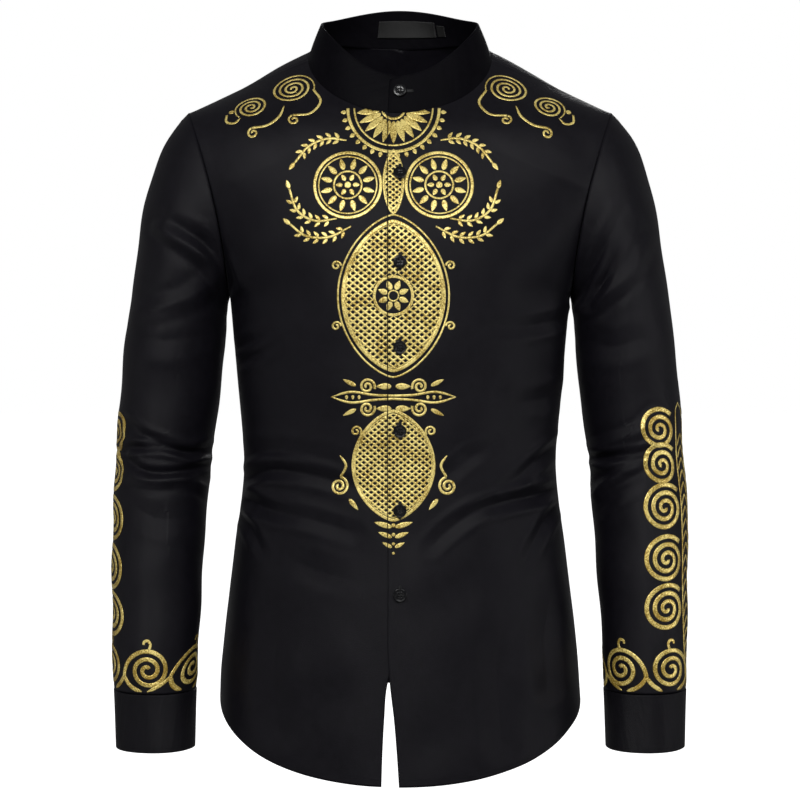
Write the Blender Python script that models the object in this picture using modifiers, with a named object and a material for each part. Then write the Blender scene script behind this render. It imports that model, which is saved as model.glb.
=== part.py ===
"""A slim long-sleeved shirt with a stand collar, in the hollow shape it has when it is worn.

Metres, +Z up. The front faces -Y and the wearer's left is at +X. The origin is the middle of the neck,
level with the points where the shoulder seams meet the collar. Every cloth piece is a grid laid through
curves that the tables below give, and a Solidify modifier gives it its wall.
"""

import math

import bmesh
import bpy
import numpy as np
from mathutils import Vector

OBJECT_NAME = "print_shirt"

# Walls and seams
CLOTH = 0.0016
BAND = 0.0026
LABEL_CLOTH = 0.0010
GAP = 0.0003

# Heights from the neck-shoulder points
UNDERARM_Z = -0.245
SIDE_HEM_Z = -0.649
FRONT_HEM_Z = -0.733
BACK_HEM_Z = -0.653
CUFF_TOP_Z = -0.6430
CUFF_LOW_Z = -0.7015

# Stand collar: the ellipses of its two edges, and their heights as cosines of the angle from the front
NECK_CENTRE_Y = -0.006
NECK_HALF_WIDTH = 0.0930
NECK_HALF_DEPTH = 0.0620
TOP_CENTRE_Y = -0.004
TOP_HALF_WIDTH = 0.0800
TOP_HALF_DEPTH = 0.0540
NECK_WAVE = (-0.0105, -0.0411, -0.0105, 0.0021)
TOP_WAVE = (0.0268, -0.0345, -0.0092, -0.0053)
COLLAR_RISES = (0.0, 0.34, 0.67, 1.0)
COLLAR_SEAT_FRONT = 0.0011
COLLAR_SEAT_SIDE = 0.0019
COLLAR_CORNER = 0.0050

# Armhole: a leaning egg-shaped loop
ARMHOLE_TOP_Z = -0.055
ARMHOLE_TOP_X = 0.217
ARMHOLE_LOW_X = 0.1745
ARMHOLE_LEAN = 1.8
ARMHOLE_CENTRE_Y = 0.004
ARMHOLE_FRONT_DEPTH = 0.068
ARMHOLE_BACK_DEPTH = 0.072

# Front edges: each laps 12 mm past the centre line, and they part below the last button
LAP = 0.012
LAP_BLEND = 0.050
LAP_STEP = CLOTH + 0.0006
PARTING_TABLE = (
    # height, edge of the left front across, edge of the right front across
    (-0.545, -0.0120, 0.0120),
    (-0.590, -0.0124, 0.0020),
    (-0.633, -0.0098, -0.0129),
    (-0.666, -0.0060, -0.0158),
    (-0.700, -0.0032, -0.0177),
    (-0.733, -0.0010, -0.0188),
)

# Torso sections below the armholes
SECTION_ROUNDNESS = 0.60
TORSO_TABLE = (
    # height, half width, front depth, back depth
    (-0.245, 0.1745, 0.1220, 0.1190),
    (-0.288, 0.1705, 0.1215, 0.1140),
    (-0.330, 0.1668, 0.1190, 0.1070),
    (-0.371, 0.1630, 0.1165, 0.1010),
    (-0.412, 0.1600, 0.1150, 0.0985),
    (-0.453, 0.1630, 0.1155, 0.1000),
    (-0.494, 0.1688, 0.1170, 0.1050),
    (-0.536, 0.1738, 0.1185, 0.1110),
    (-0.577, 0.1790, 0.1200, 0.1160),
    (-0.618, 0.1830, 0.1210, 0.1190),
    (-0.649, 0.1848, 0.1215, 0.1200),
    (-0.733, 0.1860, 0.1225, 0.1210),
)
# Depth of the centre front and the centre back between the underarm's height and the neckline
FRONT_RISE_TABLE = (
    # height, depth
    (-0.245, 0.1220),
    (-0.200, 0.1195),
    (-0.150, 0.1095),
    (-0.100, 0.0890),
    (-0.0595, 0.0675),
)
BACK_RISE_TABLE = (
    # height, depth
    (-0.245, 0.1190),
    (-0.190, 0.1215),
    (-0.130, 0.1170),
    (-0.070, 0.0990),
    (-0.020, 0.0750),
    (0.018, 0.0560),
)
# Rows of the upper fronts and back, from the underarm up to the shoulder seam. Each is a curve from the
# front edge, centre back or neckline to the armhole. Up to the neck share it starts below the neckline.
FRONT_NECK_SHARE = 0.60
FRONT_YOKE_TABLE = (
    # share up, armhole angle, reach on leaving (x, y, z), reach on arriving (x, y, z)
    (0.00, 180.0, 0.1047, 0.000, 0.000, 0.000, 0.0730, 0.000),
    (0.20, 146.0, 0.1000, 0.000, 0.000, 0.017, 0.0600, -0.003),
    (0.40, 113.0, 0.0900, 0.000, 0.000, 0.037, 0.0460, -0.010),
    (0.60, 82.0, 0.0700, -0.0115, -0.022, 0.049, 0.0330, -0.019),
    (0.73, 57.0, 0.0580, -0.0110, -0.017, 0.049, 0.0210, -0.023),
    (0.87, 27.0, 0.0470, -0.008, -0.016, 0.046, 0.0090, -0.022),
    (1.00, 0.0, 0.0420, 0.000, -0.0165, 0.043, 0.0000, -0.019),
)
BACK_NECK_SHARE = 0.66
BACK_YOKE_TABLE = (
    # share up, armhole angle, reach on leaving (x, y, z), reach on arriving (x, y, z)
    (0.00, 180.0, 0.1047, 0.000, 0.000, 0.000, -0.0714, 0.000),
    (0.22, 143.0, 0.1030, 0.000, 0.000, 0.018, -0.0560, -0.003),
    (0.44, 107.0, 0.0980, 0.000, 0.000, 0.036, -0.0440, -0.010),
    (0.66, 70.0, 0.0780, 0.000, -0.008, 0.048, -0.0260, -0.020),
    (0.83, 34.0, 0.0560, 0.008, -0.015, 0.046, -0.0110, -0.022),
    (1.00, 0.0, 0.0420, 0.000, -0.0165, 0.043, 0.0000, -0.019),
)
SHOULDER_SEAT = 0.0015
SIDE_SEAT = 0.0005

# Sleeves: sections from the upper arm to the wrist
SLEEVE_TABLE = (
    # height, middle across, half width, middle front to back, half depth
    (-0.247, 0.2271, 0.0505, 0.0010, 0.0660),
    (-0.288, 0.2310, 0.0512, 0.0020, 0.0645),
    (-0.330, 0.2354, 0.0508, 0.0030, 0.0620),
    (-0.371, 0.2392, 0.0502, 0.0030, 0.0595),
    (-0.412, 0.2434, 0.0478, 0.0010, 0.0575),
    (-0.453, 0.2462, 0.0482, -0.0040, 0.0560),
    (-0.494, 0.2474, 0.0470, -0.0110, 0.0535),
    (-0.536, 0.2486, 0.0455, -0.0180, 0.0505),
    (-0.577, 0.2490, 0.0436, -0.0250, 0.0470),
    (-0.618, 0.2494, 0.0426, -0.0310, 0.0430),
    (-0.643, 0.2492, 0.0412, -0.0340, 0.0400),
    (-0.7015, 0.2488, 0.0392, -0.0400, 0.0370),
)
BICEP_Z = -0.280
BICEP_TILT = 0.020
WRIST_DIP = 0.09
# The sleeve head leaves the armhole and meets the upper arm along these reaches
SLEEVE_HEAD_TABLE = (
    # place, reach on leaving (x, y, z), reach on arriving (x, y, z)
    ("top", 0.047, 0.000, -0.037, 0.014, 0.0, -0.080),
    ("side", 0.036, 0.011, -0.036, 0.010, 0.0, -0.045),
    ("underarm", 0.003, 0.000, -0.015, 0.002, 0.0, -0.018),
)
SLEEVE_SEAT_TOP = 0.0008
SLEEVE_SEAT_SIDE = 0.0014
CUFF_SEAT = 0.0010
CUFF_LAP_MIDDLE = 62.0
CUFF_LAP = 44.0

# Largest folds, as lines seen from the front. Side is -1 for the front and 1 for the back. A positive depth
# is a trough and a negative one a ridge.
FOLD_TABLE = (
    # side, start (x, z), bend (x, z), end (x, z), depth at start, depth at end, half width
    (-1, (-0.285, -0.405), (-0.250, -0.418), (-0.184, -0.398), 0.0045, 0.0050, 0.0090),
    (-1, (-0.285, -0.430), (-0.236, -0.450), (-0.198, -0.424), -0.0035, -0.0030, 0.0090),
    (-1, (-0.284, -0.450), (-0.240, -0.442), (-0.196, -0.456), 0.0050, 0.0045, 0.0090),
    (-1, (-0.262, -0.225), (-0.215, -0.228), (-0.190, -0.262), -0.0050, -0.0040, 0.0100),
    (-1, (-0.240, -0.205), (-0.210, -0.215), (-0.190, -0.240), 0.0040, 0.0060, 0.0100),
    (-1, (0.194, -0.404), (0.235, -0.412), (0.262, -0.402), 0.0070, 0.0030, 0.0090),
    (-1, (0.196, -0.390), (0.240, -0.382), (0.268, -0.350), -0.0030, -0.0020, 0.0090),
    (-1, (0.200, -0.452), (0.222, -0.432), (0.256, -0.416), -0.0035, -0.0020, 0.0090),
    (-1, (0.190, -0.236), (0.208, -0.215), (0.228, -0.165), 0.0060, 0.0020, 0.0100),
    (-1, (0.190, -0.262), (0.222, -0.238), (0.252, -0.178), -0.0045, -0.0030, 0.0100),
    (-1, (-0.166, -0.428), (-0.130, -0.412), (-0.050, -0.440), 0.0070, 0.0020, 0.0110),
    (-1, (-0.168, -0.458), (-0.130, -0.466), (-0.056, -0.488), 0.0045, 0.0015, 0.0120),
    (-1, (0.164, -0.446), (0.090, -0.436), (0.044, -0.496), 0.0075, 0.0020, 0.0120),
    (-1, (0.158, -0.404), (0.130, -0.416), (0.106, -0.442), 0.0050, 0.0020, 0.0110),
    (-1, (0.166, -0.474), (0.140, -0.490), (0.128, -0.525), 0.0045, 0.0015, 0.0110),
    (1, (-0.160, -0.420), (-0.100, -0.440), (-0.020, -0.425), 0.0055, 0.0015, 0.0130),
    (1, (0.160, -0.425), (0.095, -0.452), (0.018, -0.446), 0.0060, 0.0015, 0.0130),
    (1, (-0.162, -0.466), (-0.110, -0.484), (-0.050, -0.480), 0.0040, 0.0015, 0.0120),
    (1, (0.164, -0.474), (0.110, -0.500), (0.060, -0.504), 0.0040, 0.0015, 0.0120),
    (1, (-0.290, -0.415), (-0.240, -0.425), (-0.200, -0.412), 0.0040, 0.0040, 0.0100),
    (1, (0.200, -0.418), (0.245, -0.428), (0.290, -0.410), 0.0040, 0.0040, 0.0100),
    (1, (0.192, -0.240), (0.215, -0.215), (0.240, -0.165), 0.0050, 0.0020, 0.0110),
    (1, (-0.192, -0.240), (-0.215, -0.210), (-0.236, -0.160), 0.0050, 0.0020, 0.0110),
)
FOLD_PIECES = 6

# Buttons
BUTTON_PROFILE = (
    # radius, height above the button's back
    (0.0000, 0.0019),
    (0.0030, 0.0019),
    (0.0041, 0.0026),
    (0.0050, 0.0026),
    (0.0056, 0.0019),
    (0.0054, 0.0007),
    (0.0042, 0.0000),
    (0.0000, 0.0000),
)
BUTTON_SIDES = 16
BUTTON_SEAT = 0.0004
FRONT_BUTTON_HEIGHTS = (-0.1245, -0.2135, -0.2976, -0.3807, -0.4598, -0.5429)
COLLAR_BUTTON_Z = -0.0389

# Neck label and size tab on the inside of the back of the collar
LABEL_X = (-0.0228, 0.0368)
LABEL_RISES = (0.28, 0.74)
TAB_X = (0.0385, 0.0465)
TAB_RISES = (0.30, 0.66)

# Colours (linear), roughness
CLOTH_BLACK = (0.0130, 0.0125, 0.0150), 0.55
SATIN_BLACK = (0.0080, 0.0080, 0.0090), 0.35
BUTTON_BLACK = (0.0050, 0.0050, 0.0055), 0.12

# Mesh density
FRONT_COLUMNS = 15
BACK_COLUMNS = 13
LOW_ROW_SHARES = (0, 0.05, 0.13, 0.22, 0.32, 0.41, 0.47, 0.52, 0.565, 0.61, 0.655, 0.70, 0.75, 0.81, 0.90, 1)
FRONT_YOKE_ROWS = (8, 7)
BACK_YOKE_ROWS = (9, 6)
HEAD_ROWS = 9
ARM_ROW_SHARES = (0.08, 0.16, 0.22, 0.27, 0.31, 0.345, 0.38, 0.415, 0.45, 0.485, 0.53, 0.60, 0.70, 0.80, 0.90, 1)
CUFF_COLUMNS = 33
CUFF_ROWS = 2
ROW_SAMPLES = 60


def clear_scene():
    """Removes every object that the file opened with."""
    for old in list(bpy.data.objects):
        bpy.data.objects.remove(old, do_unlink=True)


def read_table(table, key):
    """Reads a table smoothly between its rows. The first column is the key."""
    rows = np.array(table, float)
    if rows[0, 0] > rows[-1, 0]:
        rows = rows[::-1]
    keys, values = rows[:, 0], rows[:, 1:]
    slopes = np.gradient(values, keys, axis=0)
    key = np.clip(np.asarray(key, float), keys[0], keys[-1])
    i = np.clip(np.searchsorted(keys, key, side="right") - 1, 0, len(keys) - 2)
    step = (keys[i + 1] - keys[i])[..., None]
    t = (key - keys[i])[..., None] / step
    left = values[i] * (1 + 2 * t) * (1 - t) ** 2 + slopes[i] * step * t * (1 - t) ** 2
    right = values[i + 1] * t**2 * (3 - 2 * t) + slopes[i + 1] * step * t**2 * (t - 1)
    return left + right


def ease(t):
    """A smooth step from 0 to 1."""
    t = np.clip(t, 0.0, 1.0)
    return t * t * (3 - 2 * t)


def bezier(p0, p1, p2, p3, t):
    """Points on a cubic curve, for an array of shares t."""
    t = np.asarray(t, float)[..., None]
    return p0 * (1 - t) ** 3 + 3 * p1 * (1 - t) ** 2 * t + 3 * p2 * (1 - t) * t**2 + p3 * t**3


def spread(points, count):
    """The same curve with its points evenly spaced along it."""
    steps = np.linalg.norm(np.diff(points, axis=0), axis=1)
    along = np.concatenate([[0], np.cumsum(steps)])
    places = np.linspace(0, along[-1], count)
    return np.stack([np.interp(places, along, points[:, axis]) for axis in range(3)], -1)


def wave(terms, angle):
    """A height that changes round the neck, as cosines of the angle from the front."""
    return sum(term * np.cos(n * angle) for n, term in enumerate(terms))


def neck_point(angle, rise=0.0):
    """A point on the collar's middle surface. Angle 0 is the front, and rise 0 is the neckline."""
    angle, rise = np.broadcast_arrays(np.asarray(angle, float), np.asarray(rise, float))
    low_y = NECK_CENTRE_Y - NECK_HALF_DEPTH * np.cos(angle)
    top_y = TOP_CENTRE_Y - TOP_HALF_DEPTH * np.cos(angle)
    low = np.stack([NECK_HALF_WIDTH * np.sin(angle), low_y, wave(NECK_WAVE, angle)], -1)
    top = np.stack([TOP_HALF_WIDTH * np.sin(angle), top_y, wave(TOP_WAVE, angle)], -1)
    return low + (top - low) * rise[..., None]


def armhole_point(angle):
    """A point on the left armhole. Angle 0 is the shoulder tip, 90 the back, 180 the underarm, 270 the front."""
    angle = np.asarray(angle, float)
    middle = (ARMHOLE_TOP_Z + UNDERARM_Z) / 2
    half = (ARMHOLE_TOP_Z - UNDERARM_Z) / 2
    share_up = (1 + np.cos(angle)) / 2
    x = ARMHOLE_LOW_X + (ARMHOLE_TOP_X - ARMHOLE_LOW_X) * share_up**ARMHOLE_LEAN
    depth = np.where(np.sin(angle) > 0, ARMHOLE_BACK_DEPTH, ARMHOLE_FRONT_DEPTH)
    return np.stack([x, ARMHOLE_CENTRE_Y + depth * np.sin(angle), middle + half * np.cos(angle)], -1)


def torso_row(share_up, facing, edge_x):
    """One row below the armholes, from the front edge or centre back to the side seam."""
    hem = FRONT_HEM_Z if facing < 0 else BACK_HEM_Z
    centre_z = hem + (UNDERARM_Z - hem) * share_up
    side_z = SIDE_HEM_Z + (UNDERARM_Z - SIDE_HEM_Z) * share_up
    width = read_table(TORSO_TABLE, centre_z)[0]
    t = np.linspace(edge_x / (3 * SECTION_ROUNDNESS * width), 1, ROW_SAMPLES)
    z = side_z - (side_z - centre_z) * np.cos(t * math.pi / 2)
    width, front, back = np.moveaxis(read_table(TORSO_TABLE, z), -1, 0)
    depth = front if facing < 0 else back
    across = 3 * (1 - t) ** 2 * t * SECTION_ROUNDNESS + 3 * (1 - t) * t**2 + t**3
    along = (1 - t) ** 3 + 3 * (1 - t) ** 2 * t + 3 * (1 - t) * t**2 * SECTION_ROUNDNESS
    return np.stack([width * across, ARMHOLE_CENTRE_Y * (1 - along) + facing * depth * along, z], -1)


def yoke_levels(neck_share, rows):
    """Shares up the armhole of the rows above the underarm, with one row on the neckline's corner."""
    below, above = rows
    low = np.linspace(0, neck_share, below + 1)[1:]
    return np.concatenate([low, np.linspace(neck_share, 1, above + 1)[1:]])


def yoke_angles(facing):
    """The armhole angle of each row above the underarm, and its neckline angle where it has one."""
    front = facing < 0
    table, share = (FRONT_YOKE_TABLE, FRONT_NECK_SHARE) if front else (BACK_YOKE_TABLE, BACK_NECK_SHARE)
    levels = yoke_levels(share, FRONT_YOKE_ROWS if front else BACK_YOKE_ROWS)
    first = -math.asin(LAP / NECK_HALF_WIDTH) if front else math.pi
    on_neck = np.clip((levels - share) / (1 - share), 0, 1)
    neck = first + (math.pi / 2 - first) * on_neck
    arm = np.radians(read_table(table, levels)[:, 0])
    return levels, 2 * math.pi - arm if front else arm, neck


def yoke_rows(facing, edge_x, columns):
    """The rows above the underarm, up to the shoulder seam."""
    front = facing < 0
    table, share = (FRONT_YOKE_TABLE, FRONT_NECK_SHARE) if front else (BACK_YOKE_TABLE, BACK_NECK_SHARE)
    rise_table = FRONT_RISE_TABLE if front else BACK_RISE_TABLE
    levels, arm_angles, neck_angles = yoke_angles(facing)
    corner_z = rise_table[-1][0]
    rows = []
    for level, arm_angle, neck_angle in zip(levels, arm_angles, neck_angles):
        reaches = read_table(table, level)[1:]
        below = level < share - 1e-6
        start = neck_point(neck_angle)
        if below:
            reaches[1:3] = 0.0
            z = UNDERARM_Z + (corner_z - UNDERARM_Z) * level / share
            start = np.array([0.0, facing * read_table(rise_table, z)[0], z])
        end = armhole_point(arm_angle)
        t = np.linspace(edge_x / (3 * reaches[0]) if below else 0.0, 1, ROW_SAMPLES)
        row = bezier(start, start + reaches[:3], end - reaches[3:], end, t)
        rows.append(spread(row, columns))
    return rows


def seam_shift(points, facing):
    """Moves a panel's side seam and shoulder seam off the panel behind or before it."""
    points[:-1, -1, 1] += facing * SIDE_SEAT / 2
    points[-1, :, 1] += facing * SHOULDER_SEAT / 2
    return points


def parting(z, side):
    """How far a front's edge lies from the centre line at a height, on its own side."""
    return side * read_table(PARTING_TABLE, z)[0 if side > 0 else 1]


def front_points(side):
    """The left (1) or right (-1) front, from its lapped edge to the side seam, hem to shoulder."""
    rows = []
    for share_up in LOW_ROW_SHARES:
        edge = parting(FRONT_HEM_Z + (UNDERARM_Z - FRONT_HEM_Z) * share_up, side)
        rows.append(spread(torso_row(share_up, -1, edge), FRONT_COLUMNS))
    rows += yoke_rows(-1, -LAP, FRONT_COLUMNS)
    points = np.array(rows)
    lapped = ease(1 - (np.abs(points[..., 0]) - LAP) / LAP_BLEND)
    points += outward_normals(points, (0.0, 0.0)) * (side * lapped * LAP_STEP / 2)[..., None]
    points = seam_shift(points, -1)
    points[..., 0] *= side
    return points


def back_half_points(side):
    """Half of the back, from the centre line or neckline to the side seam, hem to shoulder."""
    rows = [spread(torso_row(share_up, 1, 0.0), BACK_COLUMNS) for share_up in LOW_ROW_SHARES]
    rows += yoke_rows(1, 0.0, BACK_COLUMNS)
    points = seam_shift(np.array(rows), 1)
    points[..., 0] *= side
    return points


def sleeve_ring(z, angle):
    """Points on the left sleeve below its head, for heights and angles of one shape."""
    middle_x, half_width, middle_y, half_depth = np.moveaxis(read_table(SLEEVE_TABLE, z), -1, 0)
    return np.stack([middle_x + half_width * np.cos(angle), middle_y + half_depth * np.sin(angle), z], -1)


def sleeve_seat(angle):
    """The left armhole moved outward to where the sleeve starts, clear of the body's wall."""
    angle = np.asarray(angle, float)
    down = (1 - np.cos(angle)) / 2
    out = SLEEVE_SEAT_TOP + (CLOTH + 2 * GAP - SLEEVE_SEAT_TOP) * ease(down)
    sideways = SLEEVE_SEAT_SIDE * np.sin(angle) ** 2
    seat = armhole_point(angle)
    seat[..., 0] += out + sideways
    seat[..., 1] += np.sin(angle) * GAP
    seat[..., 2] -= SLEEVE_SEAT_TOP * (1 - down) / 2
    return seat


def sleeve_angles():
    """The angles round the sleeve, the same as the body's rows have at the armhole."""
    back = yoke_angles(1)[1]
    front = yoke_angles(-1)[1]
    return np.concatenate([back[::-1], [math.pi], front[:-1], [2 * math.pi]])


def sleeve_points(side):
    """A sleeve as rings from the armhole to the cuff. The first and last columns meet."""
    angle = sleeve_angles()
    top, beside, under = (np.array(row[1:], float) for row in SLEEVE_HEAD_TABLE)
    up = np.clip(np.cos(angle), 0, 1)[:, None] ** 2
    down = np.clip(-np.cos(angle), 0, 1)[:, None] ** 2
    reach = up * top + down * under + (1 - up - down) * beside
    reach[:, 1] *= np.sin(angle)
    start = sleeve_seat(angle)
    bicep_z = BICEP_Z + BICEP_TILT * np.cos(angle)
    end = sleeve_ring(bicep_z, angle)
    rings = []
    for t in np.linspace(0, 1, HEAD_ROWS + 1):
        rings.append(bezier(start, start + reach[:, :3], end - reach[:, 3:], end, np.full(len(angle), t)))
    for share in ARM_ROW_SHARES:
        level = bicep_z + (CUFF_TOP_Z + CUFF_SEAT - bicep_z) * share
        middle_y = read_table(SLEEVE_TABLE, level)[:, 2]
        ring = sleeve_ring(level, angle)
        ring[:, 2] += WRIST_DIP * (ring[:, 1] - middle_y) * ease(share)
        rings.append(ring)
    points = np.array(rings)
    points[..., 0] *= side
    return points


def cuff_points(side):
    """A barrel cuff as a band whose ends lap, first end outside, at the back of the wrist."""
    start = math.radians(CUFF_LAP_MIDDLE - CUFF_LAP / 2)
    end = math.radians(CUFF_LAP_MIDDLE + CUFF_LAP / 2 + 360)
    angle = np.linspace(start, end, CUFF_COLUMNS)
    turn = math.radians(CUFF_LAP)
    outward = (ease(1 - (angle - start - turn) / turn) - ease(1 - (end - angle - turn) / turn)) / 2
    rings = []
    for z in np.linspace(CUFF_LOW_Z, CUFF_TOP_Z, CUFF_ROWS):
        middle_x, _, middle_y, _ = read_table(SLEEVE_TABLE, z)
        ring = sleeve_ring(np.full(len(angle), z), angle)
        ring[:, 0] += np.cos(angle) * outward * (BAND + GAP)
        ring[:, 1] += np.sin(angle) * outward * (BAND + GAP)
        ring[:, 2] += WRIST_DIP * (ring[:, 1] - middle_y)
        rings.append(ring)
    points = np.array(rings)
    points[..., 0] *= side
    return points


def collar_angles():
    """The angles round the collar, the same as the body's rows have at the neckline."""
    _, _, front = yoke_angles(-1)
    _, _, back = yoke_angles(1)
    left = np.concatenate([np.unique(front.round(9)), np.unique(back.round(9))[1:]])
    return np.concatenate([left, 2 * math.pi - left[-2::-1]])


def collar_points():
    """The stand collar as a band whose ends lap at the front, the left end outside and its corners rounded."""
    angle = collar_angles()
    first, last = angle[0], angle[-1]
    lap = -2 * first
    outward = (ease(1 - (angle - first - lap) / lap) - ease(1 - (last - angle - lap) / lap)) / 2
    side_share = np.sin(angle) ** 2
    seat = COLLAR_SEAT_FRONT + (COLLAR_SEAT_SIDE - COLLAR_SEAT_FRONT) * side_share
    end_share = np.clip(1 - np.minimum(angle - first, last - angle) / lap, 0, 1)
    rings = []
    for rise in COLLAR_RISES:
        ring = neck_point(angle, rise)
        ring[:, 0] += np.sin(angle) * outward * (BAND + GAP)
        ring[:, 1] -= np.cos(angle) * outward * (BAND + GAP)
        ring[:, 2] += seat * (1 - rise) - COLLAR_CORNER * end_share**2 * rise
        rings.append(ring)
    return np.array(rings)


def normals(points):
    """Unit normals at the points of a grid."""
    across = np.gradient(points, axis=1)
    up = np.gradient(points, axis=0)
    normal = np.cross(across, up)
    return normal / np.maximum(np.linalg.norm(normal, axis=-1, keepdims=True), 1e-12)


def outward_normals(points, centre_xy):
    """Normals turned away from an upright axis."""
    normal = normals(points)
    away = points[..., :2] - np.array(centre_xy)
    inward = (normal[..., :2] * away).sum(-1) < 0
    return np.where(inward[..., None], -normal, normal)


def distance_to_fold(points, start, bend, end):
    """How far each point is from a fold's line, seen from the front, and how far along it lies."""
    share = np.linspace(0, 1, FOLD_PIECES + 1)
    start, bend, end = (np.array(corner) for corner in (start, bend, end))
    line = bezier(start, (start + 2 * bend) / 3, (end + 2 * bend) / 3, end, share)
    flat = points[..., [0, 2]]
    nearest = np.full(flat.shape[:-1], np.inf)
    along = np.zeros(flat.shape[:-1])
    for i in range(FOLD_PIECES):
        step = line[i + 1] - line[i]
        t = np.clip(((flat - line[i]) @ step) / (step @ step), 0, 1)
        gap = np.linalg.norm(flat - line[i] - t[..., None] * step, axis=-1)
        closer = gap < nearest
        nearest = np.where(closer, gap, nearest)
        along = np.where(closer, (i + t) / FOLD_PIECES, along)
    return nearest, along


def add_folds(points, centre_xy, held):
    """Presses the folds into a grid. Held is 0 at the seams, where the grid keeps its place."""
    normal = outward_normals(points, centre_xy)
    inward = np.zeros(points.shape[:-1])
    for side, start, bend, end, start_depth, end_depth, half_width in FOLD_TABLE:
        gap, along = distance_to_fold(points, start, bend, end)
        depth = start_depth + (end_depth - start_depth) * along
        facing = ease(0.15 + 1.5 * side * normal[..., 1])
        inward += depth * np.exp(-((gap / half_width) ** 2)) * facing
    return points - normal * (inward * held)[..., None]


def held_weights(shape, held_low=0, held_top=0, held_first=0, held_last=0):
    """Weights for a grid: 0 on a held edge, rising to 1 over the given number of rows or columns."""
    rows, columns = np.indices(shape)
    weight = np.ones(shape)
    for index, count in (
        (rows, held_low),
        (shape[0] - 1 - rows, held_top),
        (columns, held_first),
        (shape[1] - 1 - columns, held_last),
    ):
        if count:
            weight *= ease(index / count)
    return weight


def facet(points, row, column, away_from):
    """The middle of one face of a grid, and its normal turned away from a point."""
    corners = points[row : row + 2, column : column + 2]
    middle = corners.mean(axis=(0, 1))
    normal = np.cross(corners[1, 1] - corners[0, 0], corners[1, 0] - corners[0, 1])
    normal /= np.linalg.norm(normal)
    if (middle - np.array(away_from)) @ normal < 0:
        normal = -normal
    return middle, normal


def surface_point(points, x, z):
    """The point of a grid at a place seen from the front, and the normal of its face."""
    middles = (points[:-1, :-1] + points[1:, :-1] + points[:-1, 1:] + points[1:, 1:]) / 4
    gap = np.hypot(middles[..., 0] - x, middles[..., 2] - z)
    row, column = np.unravel_index(gap.argmin(), gap.shape)
    middle, normal = facet(points, row, column, (0.0, 0.0, z))
    depth = ((middle[[0, 2]] - np.array([x, z])) @ normal[[0, 2]]) / normal[1]
    return np.array([x, middle[1] + depth, z]), normal


def patch_on(points, rows, columns):
    """A grid laid on another one, for row and column numbers that need not be whole."""
    rows, columns = np.meshgrid(rows, columns, indexing="ij")
    i = np.clip(rows.astype(int), 0, points.shape[0] - 2)
    j = np.clip(columns.astype(int), 0, points.shape[1] - 2)
    s, t = (rows - i)[..., None], (columns - j)[..., None]
    low = points[i, j] * (1 - t) + points[i, j + 1] * t
    top = points[i + 1, j] * (1 - t) + points[i + 1, j + 1] * t
    return low * (1 - s) + top * s


def new_material(name, finish):
    """A Principled material for one piece."""
    colour, roughness = finish
    material = bpy.data.materials.new(name)
    material.use_nodes = True
    shader = material.node_tree.nodes["Principled BSDF"]
    shader.inputs["Base Color"].default_value = (*colour, 1.0)
    shader.inputs["Roughness"].default_value = roughness
    shader.inputs["Metallic"].default_value = 0.0
    material.diffuse_color = (*colour, 1.0)
    return material


def add_object(name, mesh, finish, collection):
    """Puts a mesh in the shirt's collection with its own material."""
    mesh.shade_smooth()
    mesh.materials.append(new_material(name, finish))
    piece = bpy.data.objects.new(name, mesh)
    collection.objects.link(piece)
    return piece


def grid_mesh(name, grids):
    """One mesh of grid primitives whose points are moved to their places and welded where they meet."""
    bm = bmesh.new()
    for points in grids:
        rows, columns = points.shape[:2]
        made = bmesh.ops.create_grid(bm, x_segments=columns - 1, y_segments=rows - 1, size=1.0)
        for vertex in made["verts"]:
            column = round((vertex.co.x + 1) / 2 * (columns - 1))
            row = round((vertex.co.y + 1) / 2 * (rows - 1))
            vertex.co = points[row, column]
    bmesh.ops.remove_doubles(bm, verts=bm.verts, dist=0.00001)
    bmesh.ops.recalc_face_normals(bm, faces=bm.faces)
    mesh = bpy.data.meshes.new(name)
    bm.to_mesh(mesh)
    bm.free()
    return mesh


def add_cloth(name, grids, wall, finish, collection):
    """A cloth piece: its middle surface, thickened equally to both sides."""
    piece = add_object(name, grid_mesh(name, grids), finish, collection)
    solidify = piece.modifiers.new("Wall", "SOLIDIFY")
    solidify.thickness = wall
    solidify.offset = 0.0
    solidify.use_even_offset = True
    solidify.use_rim = True
    return piece


def add_button(name, place, normal, collection):
    """A dished button as a turned profile, with its back on the cloth."""
    mesh = bpy.data.meshes.new(name)
    bm = bmesh.new()
    ring = [bm.verts.new((radius, 0.0, height)) for radius, height in BUTTON_PROFILE]
    for first, second in zip(ring, ring[1:]):
        bm.edges.new((first, second))
    bm.to_mesh(mesh)
    bm.free()
    button = add_object(name, mesh, BUTTON_BLACK, collection)
    screw = button.modifiers.new("Turn", "SCREW")
    screw.steps = BUTTON_SIDES
    screw.render_steps = BUTTON_SIDES
    screw.use_merge_vertices = True
    screw.merge_threshold = 0.00005
    button.location = Vector(place)
    button.rotation_mode = "QUATERNION"
    button.rotation_quaternion = Vector(normal).to_track_quat("Z", "Y")
    return button


def add_body(collection):
    """The two fronts and the back."""
    fronts = {}
    for name, side in (("front_left", 1), ("front_right", -1)):
        points = front_points(side)
        held = held_weights(points.shape[:2], held_top=3, held_first=2, held_last=2)
        points = add_folds(points, (0.0, 0.0), held)
        add_cloth(name, [points], CLOTH, CLOTH_BLACK, collection)
        fronts[name] = points
    halves = []
    for side in (1, -1):
        points = back_half_points(side)
        held = held_weights(points.shape[:2], held_low=1, held_top=3, held_last=2)
        halves.append(add_folds(points, (0.0, 0.0), held))
    add_cloth("back", halves, CLOTH, CLOTH_BLACK, collection)
    return fronts["front_left"]


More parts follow.
